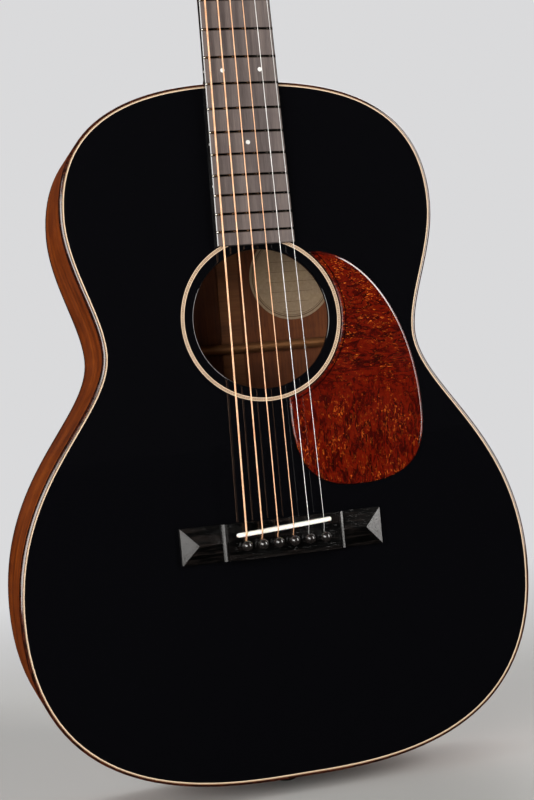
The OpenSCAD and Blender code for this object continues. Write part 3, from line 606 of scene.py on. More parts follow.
def plastic(name, tone, shade, rough, coat=0.4):
    p = Paint(name)
    cloud = p.noise((150, 150, 150), 3)
    scuff = p.noise((1600, 500, 1600), 3)
    normal = p.bump(scuff, 0.12, 0.01)
    return p.finish(p.mix(cloud, tone, shade), p.span(scuff, 0.3, 0.7, rough * 0.8, rough * 1.3), normal,
                    Coat_Weight=coat, Coat_Roughness=0.06)


def pearl():
    p = Paint("pearl")
    wave = p.noise((700, 700, 350), 3, 0.6, 2.5)
    stops = [(0.3, srgb(200, 208, 206)), (0.5, srgb(238, 237, 232)), (0.7, srgb(224, 216, 220))]
    colour = p.ramp(wave, stops)
    return p.finish(colour, 0.22, p.bump(wave, 0.1, 0.02), Coat_Weight=0.5, Coat_Roughness=0.08)


LABEL_CENTRE = (53, -133)
LABEL_R = 34.5
LABEL_RINGS = [(32.2, 0.35), (30.9, 0.16)]
LABEL_ROW = 8
LABEL_RULE_HALF = 23


def paper():
    """Cream card with a generic ruled border and faint ruled lines, no lettering."""
    p = Paint("label_paper")
    dx, dz = p.offsets(*LABEL_CENTRE)
    reach = p.length(dx, dz)
    fibre = p.noise((500, 500, 500), 5, 0.65)
    stain = p.noise((40, 40, 40), 3)
    stops = [(0.3, srgb(157, 134, 106)), (0.6, srgb(173, 150, 123)), (0.8, srgb(185, 164, 138))]
    colour = p.ramp(fibre, stops)
    colour = p.mix(p.span(stain, 0.5, 0.8, 0, 0.35), colour, srgb(190, 165, 120))
    ink = srgb(92, 66, 44)
    for radius, half in LABEL_RINGS:
        off = p.size(p.minus(reach, radius * MM))
        colour = p.mix(p.span(off, half * MM, half * 1.5 * MM, 0.8, 0), colour, ink)
    rows = p.size(p.minus(p.math("FRACT", p.math("DIVIDE", dz, LABEL_ROW * MM)), 0.5))
    spread = p.add(p.size(dx), p.size(p.times(dz, 0.5)))
    inside = p.math("LESS_THAN", spread, LABEL_RULE_HALF * MM)
    rule = p.times(p.span(rows, 0.02, 0.035, 0.55, 0), inside)
    colour = p.mix(rule, colour, ink)
    return p.finish(colour, 0.85, p.bump(fibre, 0.3, 0.03))


def tones(*triples):
    return [srgb(*t) for t in triples]


SPRUCE = tones((176, 138, 88), (204, 168, 116), (222, 190, 140))
M_LACQUER = lacquer()
M_SPRUCE = wood("spruce_inside", *SPRUCE, rough=0.7, pores=0.15, line=900)
M_SPRUCE_X = wood("spruce_brace", *SPRUCE, ALONG_X, rough=0.7, pores=0.15, line=900)
M_MAHOGANY = wood("mahogany_gloss", *tones((88, 33, 3), (137, 59, 7), (170, 82, 12)), ALONG_U, "UV",
                  rough=0.4, coat=0.35, figure=0.7, coat_rough=0.15)
M_MAHOGANY_BACK = wood("mahogany_back", *tones((84, 34, 8), (132, 60, 16), (164, 84, 28)), rough=0.4,
                       coat=0.5, figure=1.0)
M_INSIDE = wood("mahogany_raw", *tones((78, 37, 14), (108, 56, 24), (132, 74, 34)), rough=0.75, pores=0.5)
M_BACK_BRACE = wood("mahogany_brace", *tones((112, 70, 38), (150, 100, 58), (174, 122, 76)), ALONG_X,
                    rough=0.7, pores=0.3)
M_STRIP = wood("mahogany_strip", *tones((110, 64, 32), (134, 82, 44), (152, 98, 56)), ALONG_X, rough=0.7,
               pores=0.1)
M_INSIDE_U = wood("mahogany_raw_side", *tones((84, 44, 24), (128, 74, 42), (158, 98, 60)), ALONG_U, "UV",
                  rough=0.75, pores=0.5)
M_NECK = wood("mahogany_neck", *tones((58, 24, 11), (104, 48, 20), (136, 68, 30)), rough=0.42, coat=0.5,
              pores=0.7, figure=0.6, coat_rough=0.18)
M_BLOCK = wood("mahogany_block", *tones((92, 50, 28), (138, 82, 48), (166, 106, 66)), ALONG_X, rough=0.75)
M_STRIPE = wood("stripe_wood", *tones((96, 60, 30), (196, 160, 104), (220, 190, 134)), rough=0.35, coat=0.8,
                pores=0.2, line=500)
# Painted light on the fingerboard: its face and its chamfers, sides and underside are lit and shaded copies
# of one ebony. The face's light grey-brown is partly wood colour and partly painted sheen; the near-black
# edges are painted shade.
M_BOARD = wood("ebony_board_lit_copy", *tones((68, 58, 56), (88, 77, 74), (106, 94, 89)), pores=0.35, figure=0.3,
               line=1300)
M_BOARD_SHADED_EDGE = wood("ebony_edge_shaded_copy", *tones((12, 10, 10), (20, 17, 16), (34, 29, 27)), rough=0.22, coat=1.0,
                    pores=0.2, figure=0.2, line=900, coat_ior=2.1)
M_BRIDGE = wood("ebony_bridge", *tones((0, 0, 0), (2, 2, 2), (30, 25, 23)), ALONG_X, rough=0.2, pores=0.5,
                figure=0.2, line=1700)
M_EBONY = wood("ebony_trim", *tones((16, 13, 12), (30, 25, 23), (50, 41, 37)), rough=0.3, coat=0.5, pores=0.4,
               figure=0.2, line=900)
M_MAPLE = wood("maple", *tones((172, 128, 76), (204, 162, 108), (222, 186, 134)), ALONG_X, rough=0.65,
               pores=0.1)
M_BINDING = tortoise("dark_binding", *tones((14, 6, 4), (40, 15, 9), (72, 30, 16), (92, 42, 22)), 1.2)
M_GUARD = tortoise("tortoise_guard", *tones((29, 3, 2), (64, 6, 2), (92, 16, 3), (224, 110, 36)),
                   reflection_arc=GUARD_REFLECTION_R)
M_CREAM = plain_ply("cream_ply", srgb(226, 203, 176), srgb(204, 177, 147))
M_DARK = plain_ply("dark_ply", srgb(28, 20, 16), srgb(56, 40, 30))
M_SIDE_LINE = plain_ply("side_line", srgb(20, 14, 12), srgb(44, 30, 22))
M_BROWN = plain_ply("brown_ply", srgb(60, 38, 25), srgb(44, 28, 18))
M_ROPE = rope("rope_line", 1.5, srgb(168, 142, 112), srgb(118, 90, 62))
M_ROSETTE = rope("rope_rosette", 1.7, srgb(228, 200, 170), srgb(168, 132, 100))
M_BONE = bone()
M_PEARL = pearl()
M_FRET = metal("nickel_silver", srgb(176, 170, 160), srgb(138, 132, 120), 0.09, 0.02, scale=500)
M_NICKEL = metal("nickel", srgb(206, 200, 190), srgb(168, 160, 148), 0.16)
M_STEEL = metal("steel", srgb(150, 150, 152), srgb(112, 112, 114), 0.34)
M_BRASS = metal("brass", srgb(206, 168, 92), srgb(150, 112, 54), 0.28)
M_PLAIN = metal("plain_steel", srgb(250, 249, 248), srgb(226, 225, 223), 0.42, 0.1, shine=0.6)
M_WOUND = winding("bronze_wound", srgb(255, 206, 166), srgb(242, 180, 136), 0.5)
M_PIN = plastic("black_plastic", srgb(18, 16, 16), srgb(34, 30, 28), 0.22, 0.9)
M_BUTTON = plastic("button_cream", srgb(224, 214, 186), srgb(206, 192, 158), 0.25, 0.5)
M_PAPER = paper()

# ---------------------------------------------------------------- body outline and dome


def half_edge():
    """Points and outward headings along the treble half of the purfling line, neck to tail."""
    out = []
    for c in BODY_CURVES:
        for i in range(CURVE_STEPS):
            t = i / CURVE_STEPS
            x, z = bezier(c, t)
            hx, hz = bezier_heading(c, t)
            out.append((x, z, -hz, hx))
    out.append((0, BOUT_ZS[4], 0, -1))
    return out


HALF = half_edge()
EDGE = HALF + [(-x, z, -nx, nz) for x, z, nx, nz in reversed(HALF[1:-1])]


def inset_point(station, inset):
    """[x, z] at an outline station, inset from the rim's outer face."""
    x, z, nx, nz = station
    out = LINE_INSET - inset
    return x + nx * out, z + nz * out


EDGE_US = running([inset_point(s, 0) for s in EDGE], True)

body_length = BODY_TOP_Z - BODY_TAIL_Z
back_tilt = math.atan((TAIL_DEPTH - HEEL_DEPTH) / body_length)
dome_reach = math.sqrt(DOME_R**2 - (math.hypot(body_length, TAIL_DEPTH - HEEL_DEPTH) / 2) ** 2)
DOME_Y = (HEEL_DEPTH + TAIL_DEPTH) / 2 - dome_reach * math.cos(back_tilt)
DOME_Z = (BODY_TOP_Z + BODY_TAIL_Z) / 2 - dome_reach * math.sin(back_tilt)


def back_y(x, z, drop):
    """Depth of the domed back at [x, z], drop millimetres in from its outer face."""
    return DOME_Y + math.sqrt((DOME_R - drop) ** 2 - x * x - (z - DOME_Z) ** 2)


def rim_ring(station, profile):
    """profile: [inset, y] or [inset, drop, "back"] points."""
    ring = []
    for spot in profile:
        x, z = inset_point(station, spot[0])
        y = back_y(x, z, spot[1]) if len(spot) > 2 else spot[1]
        ring.append((x, y, z))
    return ring


def rim_shape(profile, kinds=None):
    shape = Shape()
    loft(shape, [rim_ring(s, profile) for s in EDGE], path_closed=True, kinds=kinds, us=EDGE_US)
    return shape


def arc(cx, cy, r, start, end, steps):
    """Points on an arc, angles in degrees."""
    angles = [math.radians(start + (end - start) * k / steps) for k in range(steps + 1)]
    return [(cx + r * math.cos(a), cy + r * math.sin(a)) for a in angles]


def pins_x():
    return [string_x(i, PIN_Z) for i in range(6)]


def string_x(i, z):
    return (SPREAD_NUT + (NUT_Z - z) * (SPREAD_SADDLE - SPREAD_NUT) / SCALE) * (i / 5 - 0.5)


def crown_drop(x):
    return BOARD_RADIUS - math.sqrt(BOARD_RADIUS**2 - x * x)


def along_y(x, z):
    """Places a spun profile whose heights run back from the soundboard face."""
    return lambda a, b, h: (x + a, h, z + b)


def pin_bores():
    shape = Shape()
    for x in pins_x():
        spin(shape, [(PIN_TOP_R + 0.03, -BRIDGE_H - 0.5), (PIN_TIP_R + 0.03, PIN_LENGTH - BRIDGE_H)],
             along_y(x, PIN_Z), 32)
    return shape


def soundboard():
    """Black-lacquered board with a rebated edge, a rosette channel and a rounded soundhole."""
    shape = Shape()
    line = BINDING_W + PURFLING_W
    outer = [(line, 0), (line, PURFLING_D), (BINDING_W, PURFLING_D), (BINDING_W, TOP_T)]
    hole = [(ROSETTE_OUT, 0), (ROSETTE_OUT, ROSETTE_D), (ROSETTE_IN, ROSETTE_D), (ROSETTE_IN, 0)]
    roll = [(1.3, 0), (1.0, 0.02), (0.7, 0.08), (0.45, 0.17), (0.25, 0.3), (0.1, 0.5), (0, 0.9)]
    hole += [(HOLE_R + out, y) for out, y in roll]
    hole += [(HOLE_R, TOP_T - 0.3), (HOLE_R + 0.3, TOP_T)]
    rings = []
    for s in EDGE:
        x, z = inset_point(s, line)
        a = math.atan2(z - HOLE_Z, x)
        inner = [(r * math.cos(a), y, HOLE_Z + r * math.sin(a)) for r, y in hole]
        rings.append(list(reversed(rim_ring(s, outer))) + inner)
    count = len(rings[0])
    kinds = [0] * (count - 1) + [1]
    loft(shape, rings, path_closed=True, kinds=kinds)
    board = make_mesh("soundboard_visual", shape)
    boolean(board, pin_bores())
    show(board, "soundboard", [M_LACQUER, M_SPRUCE], "black_lacquer", sharp=40)


def trim():
    """Bindings, each with a dark line along the side, and the purfling."""
    roll = [(0, 1.7), (0.08, 1.2), (0.25, 0.85), (0.5, 0.54), (0.8, 0.32), (1.15, 0.16), (1.5, 0.05)]
    top = [(0, BINDING_H), (0, BINDING_H - SIDE_LINE)] + roll + [(BINDING_W, 0), (BINDING_W, BINDING_H)]
    kinds = [1] + [0] * (len(top) - 2) + [1]
    back = [(inset, depth, "back") for inset, depth in top]
    for node, profile in (("top_binding", top), ("back_binding", back)):
        stand_in(node, rim_shape(profile, kinds), [M_BINDING, M_SIDE_LINE], "dark_binding", sharp=50)
    cream, dark, rope_strip = range(3)
    plies = [(BINDING_W + edge, 0) for edge in (0, 0.12, 0.5, 0.62, PURFLING_W)]
    plies += [(BINDING_W + PURFLING_W, PURFLING_D), (BINDING_W, PURFLING_D)]
    kinds = [dark, rope_strip, dark] + [cream] * 4
    stand_in("top_purfling", rim_shape(plies, kinds), [M_CREAM, M_DARK, M_ROPE], "herringbone")


def rim_cutters():
    """What passes through the sides: truss rod channel, neck bolts and the strap button's screw."""
    shape = Shape()
    box(shape, (-ROD_HALF, ROD_TOP, BLOCK_Z), (ROD_HALF, ROD_BOTTOM, 20))
    neck_bolt_bores(shape, BLOCK_Z, 15)
    spin(shape, [(BUTTON_BORE, z) for z in TAIL_ZS], lambda a, b, h: (a, BUTTON_Y + b, h), 32)
    return shape


def neck_bolt_bores(shape, low, high):
    for y in BOLT_YS:
        spin(shape, [(BOLT_BORE, low), (BOLT_BORE, high)], lambda a, b, h, y=y: (a, y + b, h), 32)


def wedge_prism():
    """Cuts the tail wedge, wider at the front than at the back."""
    shape = Shape()
    front, rear, deep = 11, 7, 120
    loft(shape, [[(-front, 0, z), (front, 0, z), (rear, deep, z), (-rear, deep, z)] for z in TAIL_ZS])
    return shape


def sides():
    profile = [(0, BINDING_H), (0, BINDING_H, "back"), (BINDING_W, BINDING_H, "back"),
               (BINDING_W, BACK_T, "back"), (SIDE_T, BACK_T, "back"), (SIDE_T, TOP_T), (BINDING_W, TOP_T),
               (BINDING_W, BINDING_H)]
    kinds = [0, 0, 0, 0, 1, 0, 0, 0]
    for node, sign in (("side_treble", 1), ("side_bass", -1)):
        half = EDGE[: len(HALF)] if sign > 0 else [(-x, z, -nx, nz) for x, z, nx, nz in HALF]
        shape = Shape()
        us = running([inset_point(s, 0) for s in half])
        loft(shape, [rim_ring(s, profile) for s in half], kinds=kinds, us=us)
        obj = make_mesh(node + "_visual", shape)
        boolean(obj, wedge_prism())
        boolean(obj, rim_cutters())
        show(obj, node, [M_MAHOGANY, M_INSIDE_U], "mahogany", sharp=40)
    obj = make_mesh("tail_wedge_visual", rim_shape(profile))
    boolean(obj, wedge_prism(), "INTERSECT")
    boolean(obj, rim_cutters())
    show(obj, "tail_wedge", [M_BINDING], "dark_binding", sharp=40)


def crossing(x_limit, part):
    """Where the half outline at the binding's inner edge is x_limit from the centreline."""
    spots = [inset_point(s, BINDING_W) for s in part]
    for a, b in zip(spots, spots[1:]):
        if (a[0] - x_limit) * (b[0] - x_limit) <= 0:
            t = (x_limit - a[0]) / (b[0] - a[0])
            return (x_limit, a[1] + t * (b[1] - a[1]))
    return spots[0]


def sheet(shape, rows):
    """Slab between the back's faces over rows of [x, z]; an end row may be one point."""
    faces = []
    for drop in (0, BACK_T):
        faces.append([[shape.add([(x, back_y(x, z, drop), z)]) for x, z in row] for row in rows])
    for kind, grid in enumerate(faces):
        for a, b in zip(grid, grid[1:]):
            if len(a) == 1:
                for p, q in zip(b, b[1:]):
                    shape.face([a[0], p, q], None, kind)
            elif len(b) == 1:
                for p, q in zip(a, a[1:]):
                    shape.face([p, q, b[0]], None, kind)
            else:
                for k in range(len(a) - 1):
                    shape.face([a[k], a[k + 1], b[k + 1], b[k]], None, kind)
    outer, inner = faces
    for i in range(len(rows) - 1):
        for side in (0, -1):
            shape.face([outer[i][side], outer[i + 1][side], inner[i + 1][side], inner[i][side]])
    for end in (0, -1):
        for k in range(len(rows[end]) - 1):
            shape.face([outer[end][k], outer[end][k + 1], inner[end][k + 1], inner[end][k]])


def back():
    first = crossing(STRIPE_HALF, HALF[: CURVE_STEPS])
    last = crossing(STRIPE_HALF, HALF[-CURVE_STEPS:])
    spots = [inset_point(s, BINDING_W) for s in HALF]
    spots = [p for p in spots if p[0] > STRIPE_HALF + 0.01]
    columns = 16
    for node, sign in (("back_treble", 1), ("back_bass", -1)):
        rows = [[(sign * first[0], first[1])]]
        for x, z in spots:
            steps = [STRIPE_HALF + (x - STRIPE_HALF) * k / columns for k in range(columns + 1)]
            rows.append([(sign * step, z) for step in steps])
        rows.append([(sign * last[0], last[1])])
        shape = Shape()
        sheet(shape, rows)
        stand_in(node, shape, [M_MAHOGANY_BACK, M_INSIDE], "mahogany", sharp=40)
    shape = Shape()
    zs = [first[1]] + [z for x, z in spots if last[1] < z < first[1]] + [last[1]]
    sheet(shape, [[(-STRIPE_HALF, z), (0, z), (STRIPE_HALF, z)] for z in zs])
    stand_in("back_stripe", shape, [M_STRIPE, M_INSIDE], "herringbone", sharp=40)


BACK_BRACES = [(-85, 8, 15), (-187.5, 8, 15), (-300, 18, 10), (-405, 18, 10)]


def back_braces():
    """Cross braces with rounded tops, thinned towards their ends."""
    steps, low_end, run_up = 20, 0.3, 55
    turns = [math.pi * j / 14 for j in range(1, 14)]
    section = [(-0.5, 0), (-0.5, 0.25)]
    section += [(-0.5 * math.cos(a), 0.25 + 0.75 * math.sin(a) ** 1.4) for a in turns]
    section += [(0.5, 0.25), (0.5, 0)]
    shape = Shape()
    reach = [inset_point(s, SIDE_T + 6.1) for s in HALF]
    for z, width, height in BACK_BRACES:
        lows = [min(x for x, ez in reach if abs(ez - z - side * width / 2) < 9) for side in (-1, 1)]
        end = min(lows) - 0.5
        rings = []
        for k in range(2 * steps + 1):
            x = end * (k / steps - 1)
            tall = height * min(1.0, low_end + (end - abs(x)) / run_up)
            spots = [(z + width * dz, BACK_T + tall * dh) for dz, dh in section]
            rings.append([(x, back_y(x, across, drop), across) for across, drop in spots])
        loft(shape, rings)
    stand_in("back_braces", shape, [M_BACK_BRACE], "spruce", sharp=50)


def rosette():
    """Rope strip between two cream ones, parted and edged by brown lines."""
    cream, rope_strip, brown = range(3)
    strips = [(0, brown), (0.26, cream), (0.9, brown), (1.22, rope_strip), (1.84, brown), (2.16, cream),
              (2.76, brown)]
    profile = [(ROSETTE_IN + start, 0) for start, _ in strips]
    profile += [(ROSETTE_OUT, 0), (ROSETTE_OUT, ROSETTE_D), (ROSETTE_IN, ROSETTE_D)]
    kinds = [kind for _, kind in strips] + [cream] * 3
    shape = Shape()
    spin(shape, profile, along_y(0, HOLE_Z), 240, kinds, closed=True)
    stand_in("rosette", shape, [M_CREAM, M_ROSETTE, M_BROWN], "herringbone")


def shrink(loop, inset):
    """Moves a clockwise loop of [x, z] in by inset along its corners' middle lines."""
    out = []
    n = len(loop)
    for i, p in enumerate(loop):
        a, b = loop[i - 1], loop[(i + 1) % n]
        d0 = Vector((p[0] - a[0], p[1] - a[1])).normalized()
        d1 = Vector((b[0] - p[0], b[1] - p[1])).normalized()
        n0, n1 = Vector((d0.y, -d0.x)), Vector((d1.y, -d1.x))
        middle = (n0 + n1).normalized()
        step = inset / max(0.35, middle.dot(n0))
        out.append((p[0] + middle.x * step, p[1] + middle.y * step))
    return out


def pickguard():
    """Plate with a polished bevel, cut round to clear the rosette."""
    loop = [bezier(c, i / 28) for c in GUARD_CURVES for i in range(28)]
    loop.append(GUARD_CURVES[-1][-1])
    round_r = ROSETTE_OUT + GUARD_GAP
    loop += [(x, HOLE_Z + z) for x, z in arc(0, 0, round_r, -75.5, 49.4, 48)[1:]]
    rings = [[(x, 0, z) for x, z in loop], [(x, -0.5, z) for x, z in loop]]
    polished = [(0.05, -0.8), (0.3, -1.15), (0.42, -1.21), (1.25, -1.49), (1.5, -1.57), (1.75, -GUARD_T)]
    for inset, y in polished:
        rings.append([(x, y, z) for x, z in shrink(loop, inset)])
    shape = Shape()
    loft(shape, rings)
    stand_in("pickguard", shape, [M_GUARD], "tortoise", sharp=50)


def label():
    shape = Shape()
    x0, z0 = LABEL_CENTRE

    def place(a, b, h):
        return (x0 + a, back_y(x0 + a, z0 + b, BACK_T + h), z0 + b)

    rings = [(r, 0.3) for r in (0, 8, 16, 24, 30, LABEL_R - 0.1)] + [(LABEL_R, 0.15)]
    rings += [(r, 0) for r in (LABEL_R, 24, 12, 0)]
    spin(shape, rings, place, 96)
    stand_in("label", shape, [M_PAPER], "paper")


# ---------------------------------------------------------------- bridge, saddle and pins


SCOOP = [(46, 5.2), (45.7, 5.24), (44.3, 5.66), (43.6, 6), (43.1, 6.4), (42.7, 6.9), (42.35, 7.5), (42.1, 8),
         (42, BRIDGE_H)]


def bridge():
    """Belly-less bridge with scooped shoulders and a hipped pyramid at each end."""
    shape = Shape()
    scoop = [(-46, 0)] + [(-x, -y) for x, y in SCOOP]
    profile = scoop + [(-x, y) for x, y in reversed(scoop)]
    lo, hi = BRIDGE_LOW_Z, BRIDGE_HIGH_Z
    mid = (lo + hi) / 2
    loft(shape, [[(x, y, z) for x, y in profile] for z in (lo, hi)])
    obj = make_mesh("bridge_visual", shape)
    for s in (-1, 1):
        wing = Shape()
        x0, x1, apex = s * 45.9, s * BRIDGE_HALF, s * 63
        ridge, peak, eave = -5.2, -6.4, -2.7
        wing.add([(x0, 0, lo), (x0, 0, hi), (x0, eave, hi), (x0, ridge, mid), (x0, eave, lo),
                  (x1, 0, lo), (x1, 0, hi), (x1, eave, hi), (x1, eave, lo), (apex, peak, mid)])
        walls = [[0, 1, 2, 3, 4], [0, 5, 6, 1], [6, 5, 8, 7], [1, 6, 7, 2], [0, 4, 8, 5]]
        slopes = [[2, 7, 9], [2, 9, 3], [3, 9, 4], [4, 9, 8], [7, 8, 9]]
        for corners in walls + slopes:
            wing.face(corners)
        boolean(obj, wing, "UNION")
    boolean(obj, pin_bores())
    slot = Shape()
    loft(slot, [saddle_loop(0, 0.0, y) for y in (-20, -SADDLE_BOTTOM)])
    boolean(obj, slot)
    show(obj, "bridge", [M_BRIDGE], "ebony", sharp=30, bevel=0.2, bevel_angle=14.5)


def saddle_loop(inset, rise, y=None):
    """Rounded-end loop of the saddle's plan, moved in by inset, with the crown lowered by rise."""
    half = SADDLE_LENGTH / 2 - SADDLE_WIDTH / 2
    r = SADDLE_WIDTH / 2 - inset
    loop = [(half + x, z) for x, z in arc(0, 0, r, -90, 90, 12)]
    loop += [(half - 2 * half * k / 24, r) for k in range(1, 24)]
    loop += [(-half + x, z) for x, z in arc(0, 0, r, 90, 270, 12)]
    loop += [(-half + 2 * half * k / 24, -r) for k in range(1, 24)]
    c, s = math.cos(SADDLE_SLANT), math.sin(SADDLE_SLANT)
    out = []
    for x, z in loop:
        px, pz = c * x - s * z, s * x + c * z
        fall = 1.6 * max(0, (abs(x) - (half - 3)) / (3 + SADDLE_WIDTH / 2)) ** 2
        top = -SADDLE_TOP + crown_drop(px) + rise + fall
        out.append((px, top if y is None else y, SADDLE_Z + pz))
    return out


def saddle():
    shape = Shape()
    rings = [saddle_loop(0, 0, -SADDLE_BOTTOM)]
    r = 1.25
    for k in range(7):
        a = math.pi / 2 * k / 6
        rings.append(saddle_loop(r * (1 - math.cos(a)), r * (1 - math.sin(a))))
    rings.append(saddle_loop(SADDLE_WIDTH / 2 - 0.02, 0))
    loft(shape, rings)
    stand_in("saddle", shape, [M_BONE], "bone", sharp=60)


GROOVE_HALF = 0.95
GROOVE_FLOOR = 0.7
GROOVE_RISE = 2.2


def bridge_pins():
    """Tapered pins with a ball head, grooved on the saddle side for the string."""
    seat = -BRIDGE_H
    tip = PIN_LENGTH - BRIDGE_H
    ball = seat - PIN_LIFT
    neck_angle = math.degrees(math.acos(PIN_TOP_R / PIN_BALL_R))
    profile = [(0, tip), (PIN_TIP_R - 0.3, tip), (PIN_TIP_R, tip - 0.3), (PIN_TOP_R, seat)]
    profile += [(r, ball + h) for r, h in arc(0, 0, PIN_BALL_R, neck_angle, -90, 20)[:-1]]
    profile.append((0, ball - PIN_BALL_R))
    for i, x in enumerate(pins_x()):
        shape = Shape()
        spin(shape, profile, along_y(x, PIN_Z), 40)
        obj = make_mesh(f"bridge_pin_{i + 1}_visual", shape)
        groove = Shape()
        low = (x - GROOVE_HALF, seat - GROOVE_RISE, PIN_Z + GROOVE_FLOOR)
        box(groove, low, (x + GROOVE_HALF, 40, PIN_Z + 6))
        boolean(obj, groove)
        show(obj, f"bridge_pin_{i + 1}", [M_PIN], "black_plastic", f"pin_{i + 1}", sharp=40)


# ---------------------------------------------------------------- neck


def board_half(z):
    return (NUT_WIDTH + (NUT_Z - z) * BOARD_TAPER) / 2


HEEL_START = 66
HEEL_SWEEP = 205
HEEL_HOLLOW = 0.7
HEEL_HOLLOW_Y = 40
SHAFT_DEPTH_HEEL = 16.5
SHAFT_DEPTH_NUT = 14.2
HEAD_DEEPENING = 0.22


def heel_share(z):
    return max(0.0, (HEEL_START - z) / HEEL_START)


def full_depth(z):
    """How far back from the soundboard's plane the neck reaches at z."""
    thinning = (SHAFT_DEPTH_NUT - SHAFT_DEPTH_HEEL) * max(0, z - HEEL_START) / (NUT_Z - HEEL_START)
    shaft = SHAFT_DEPTH_HEEL + thinning + HEAD_DEEPENING * max(0, z - NUT_Z)
    return shaft + HEEL_SWEEP * heel_share(z) ** 3


def half_at(z, y):
    """Half the neck's width at depth y: a half ellipse, hollowed at the heel."""
    swell = math.sqrt(max(0.0, 1 - (y / full_depth(z)) ** 2))
    return board_half(z) * swell * (1 - HEEL_HOLLOW * heel_share(z) * (1 - math.exp(-y / HEEL_HOLLOW_Y)))


def neck_ring(z, top=0.0):
    """Section of the neck at z, cut off flat in front at depth top."""
    depth = min(full_depth(z), HEEL_DEPTH + 8) - top
    steps = 18
    ys = [top + depth * math.sin(math.radians(88) * k / steps) for k in range(steps + 1)]
    return [(half_at(z, y), y, z) for y in ys] + [(-half_at(z, y), y, z) for y in reversed(ys)]


def neck_loft():
    heel_zs = [-6 + 3 * k for k in range(24)]
    shaft_zs = [HEEL_START + 12 * k for k in range(21)]
    rings = [neck_ring(z) for z in heel_zs + shaft_zs + [NUT_Z - 4, NUT_Z, HEAD_Z]]
    rings += [neck_ring(HEAD_Z + 16 * k / 5, 6 * k / 5) for k in range(1, 6)]
    shape = Shape()
    loft(shape, rings)
    return shape


def head(p):
    """Moves a point from the headstock's own axes, z up from the nut, to the neck's."""
    x, y, z = p
    c, s = math.cos(HEAD_TILT), math.sin(HEAD_TILT)
    return (x, y * c + z * s, HEAD_Z - y * s + z * c)


HEAD_CURVES = [
    [(23, 0), (23, 8), (28.6, 12), (29, 22)],
    [(36.5, HEAD_LENGTH - 6), (30, HEAD_LENGTH - 1), (14, HEAD_LENGTH), (0, HEAD_LENGTH + 3)],
]


def head_loop(start=0.0):
    half = [bezier(c, i / 16) for c in HEAD_CURVES for i in range(17)]
    half = [(x, z) for x, z in half if z >= start]
    if start > 0:
        half = [(23, start)] + half
    return half + [(-x, z) for x, z in reversed(half[:-1])]


def post_side(i):
    return -1 if i < 3 else 1


def post_step(i):
    return i if i < 3 else 5 - i


def post_spot(i):
    return post_side(i) * (22.5 + 1.5 * post_step(i)), TUNER_ZS[post_step(i)]


def on_post(i):
    """Places a spun profile about tuner post i, heights running back from the headstock's face."""
    x, z = post_spot(i)
    return lambda a, b, h: head((x + a, h, z + b))


def outline_prism():
    """Everything inside the body's outline, which the neck stops at."""
    shape = Shape()
    loops = [[(x, y, z) for x, z in [inset_point(s, 0) for s in EDGE]] for y in (-10, 200)]
    loft(shape, loops)
    return shape


def neck():
    obj = make_mesh("neck_visual", neck_loft())
    slab = Shape()
    loft(slab, [[head((x, y, z)) for x, z in head_loop()] for y in (0, HEAD_THICK)])
    boolean(obj, slab, "UNION")
    boolean(obj, outline_prism())
    room = Shape()
    box(room, (-60, HEEL_DEPTH - 2, -20), (60, 150, 120))
    boolean(obj, room)
    room = Shape()
    box(room, (-ROD_HALF, -10, -20), (ROD_HALF, ROD_BOTTOM, NUT_Z - 12))
    neck_bolt_bores(room, -20, 14.5)
    bore = [(BUSHING_BORE, -1), (BUSHING_BORE, 7.5), (POST_R + 0.4, 7.5), (POST_R + 0.4, HEAD_THICK + 1)]
    for i in range(6):
        spin(room, bore, on_post(i), 36)
    boolean(obj, room)
    show(obj, "neck", [M_NECK], "neck_mahogany", sharp=42, bevel=0.5)
    cap = make_mesh("heel_cap_visual", neck_loft())
    boolean(cap, outline_prism())
    room = Shape()
    box(room, (-60, HEEL_DEPTH - 2, -20), (60, HEEL_DEPTH, 120))
    boolean(cap, room, "INTERSECT")
    show(cap, "heel_cap", [M_EBONY], "ebony", sharp=42, bevel=0.2)


def headplate():
    shape = Shape()
    loft(shape, [[head((x, y, z)) for x, z in head_loop(0.5)] for y in (-1.5, 0)])
    obj = make_mesh("headplate_visual", shape)
    room = Shape()
    for i in range(6):
        spin(room, [(BUSHING_BORE, -3), (BUSHING_BORE, 1)], on_post(i), 36)
    boolean(obj, room)
    show(obj, "headplate", [M_EBONY], "ebony", sharp=42, bevel=0.25)


def fret_z(n):
    return SCALE * 2 ** (-n / 12) - NUT_Z


def between(n):
    return (fret_z(n) + fret_z(n - 1)) / 2


def board_y(x, height=BOARD_THICK):
    return -height + crown_drop(x)


def fret_bar(shape, n, grow=0.0, tang_only=False):
    """One fret: crowned bar and tang, along the board's crown, ends filed back."""
    z = fret_z(n)
    half = board_half(z) + (1 if tang_only else 0)
    bead = [] if tang_only else [(FRET_HALF * math.cos(a), FRET_CROWN * math.sin(a)) for a in
                                 [math.pi * k / 10 for k in range(11)]]
    tang = [(-TANG_HALF - grow, 0.3 if tang_only else 0), (-TANG_HALF - grow, -TANG_DEPTH - grow),
            (TANG_HALF + grow, -TANG_DEPTH - grow), (TANG_HALF + grow, 0.3 if tang_only else 0)]
    section = bead + tang
    rings = []
    steps = 12
    middle = half - FRET_BEVEL
    stations = [(middle * (2 * k / steps - 1), 1.0) for k in range(steps + 1)]
    if tang_only:
        stations = [(-half, 1.0)] + stations + [(half, 1.0)]
    else:
        ends = [(0.3, 0.96), (FRET_BEVEL, 0.12)]
        stations = [(-middle - out, low) for out, low in reversed(ends)] + stations
        stations += [(middle + out, low) for out, low in ends]
    for x, low in stations:
        rings.append([(x, board_y(x) - (h * low if h > 0 else h), z + dz) for dz, h in section])
    loft(shape, rings)


DOTS = [(0, 5), (0, 7), (0, 9), (-14, 12), (14, 12), (0, 15)]
SIDE_DOTS = [5, 7, 9, 12, 15, 17]
DOT_R = 1.6


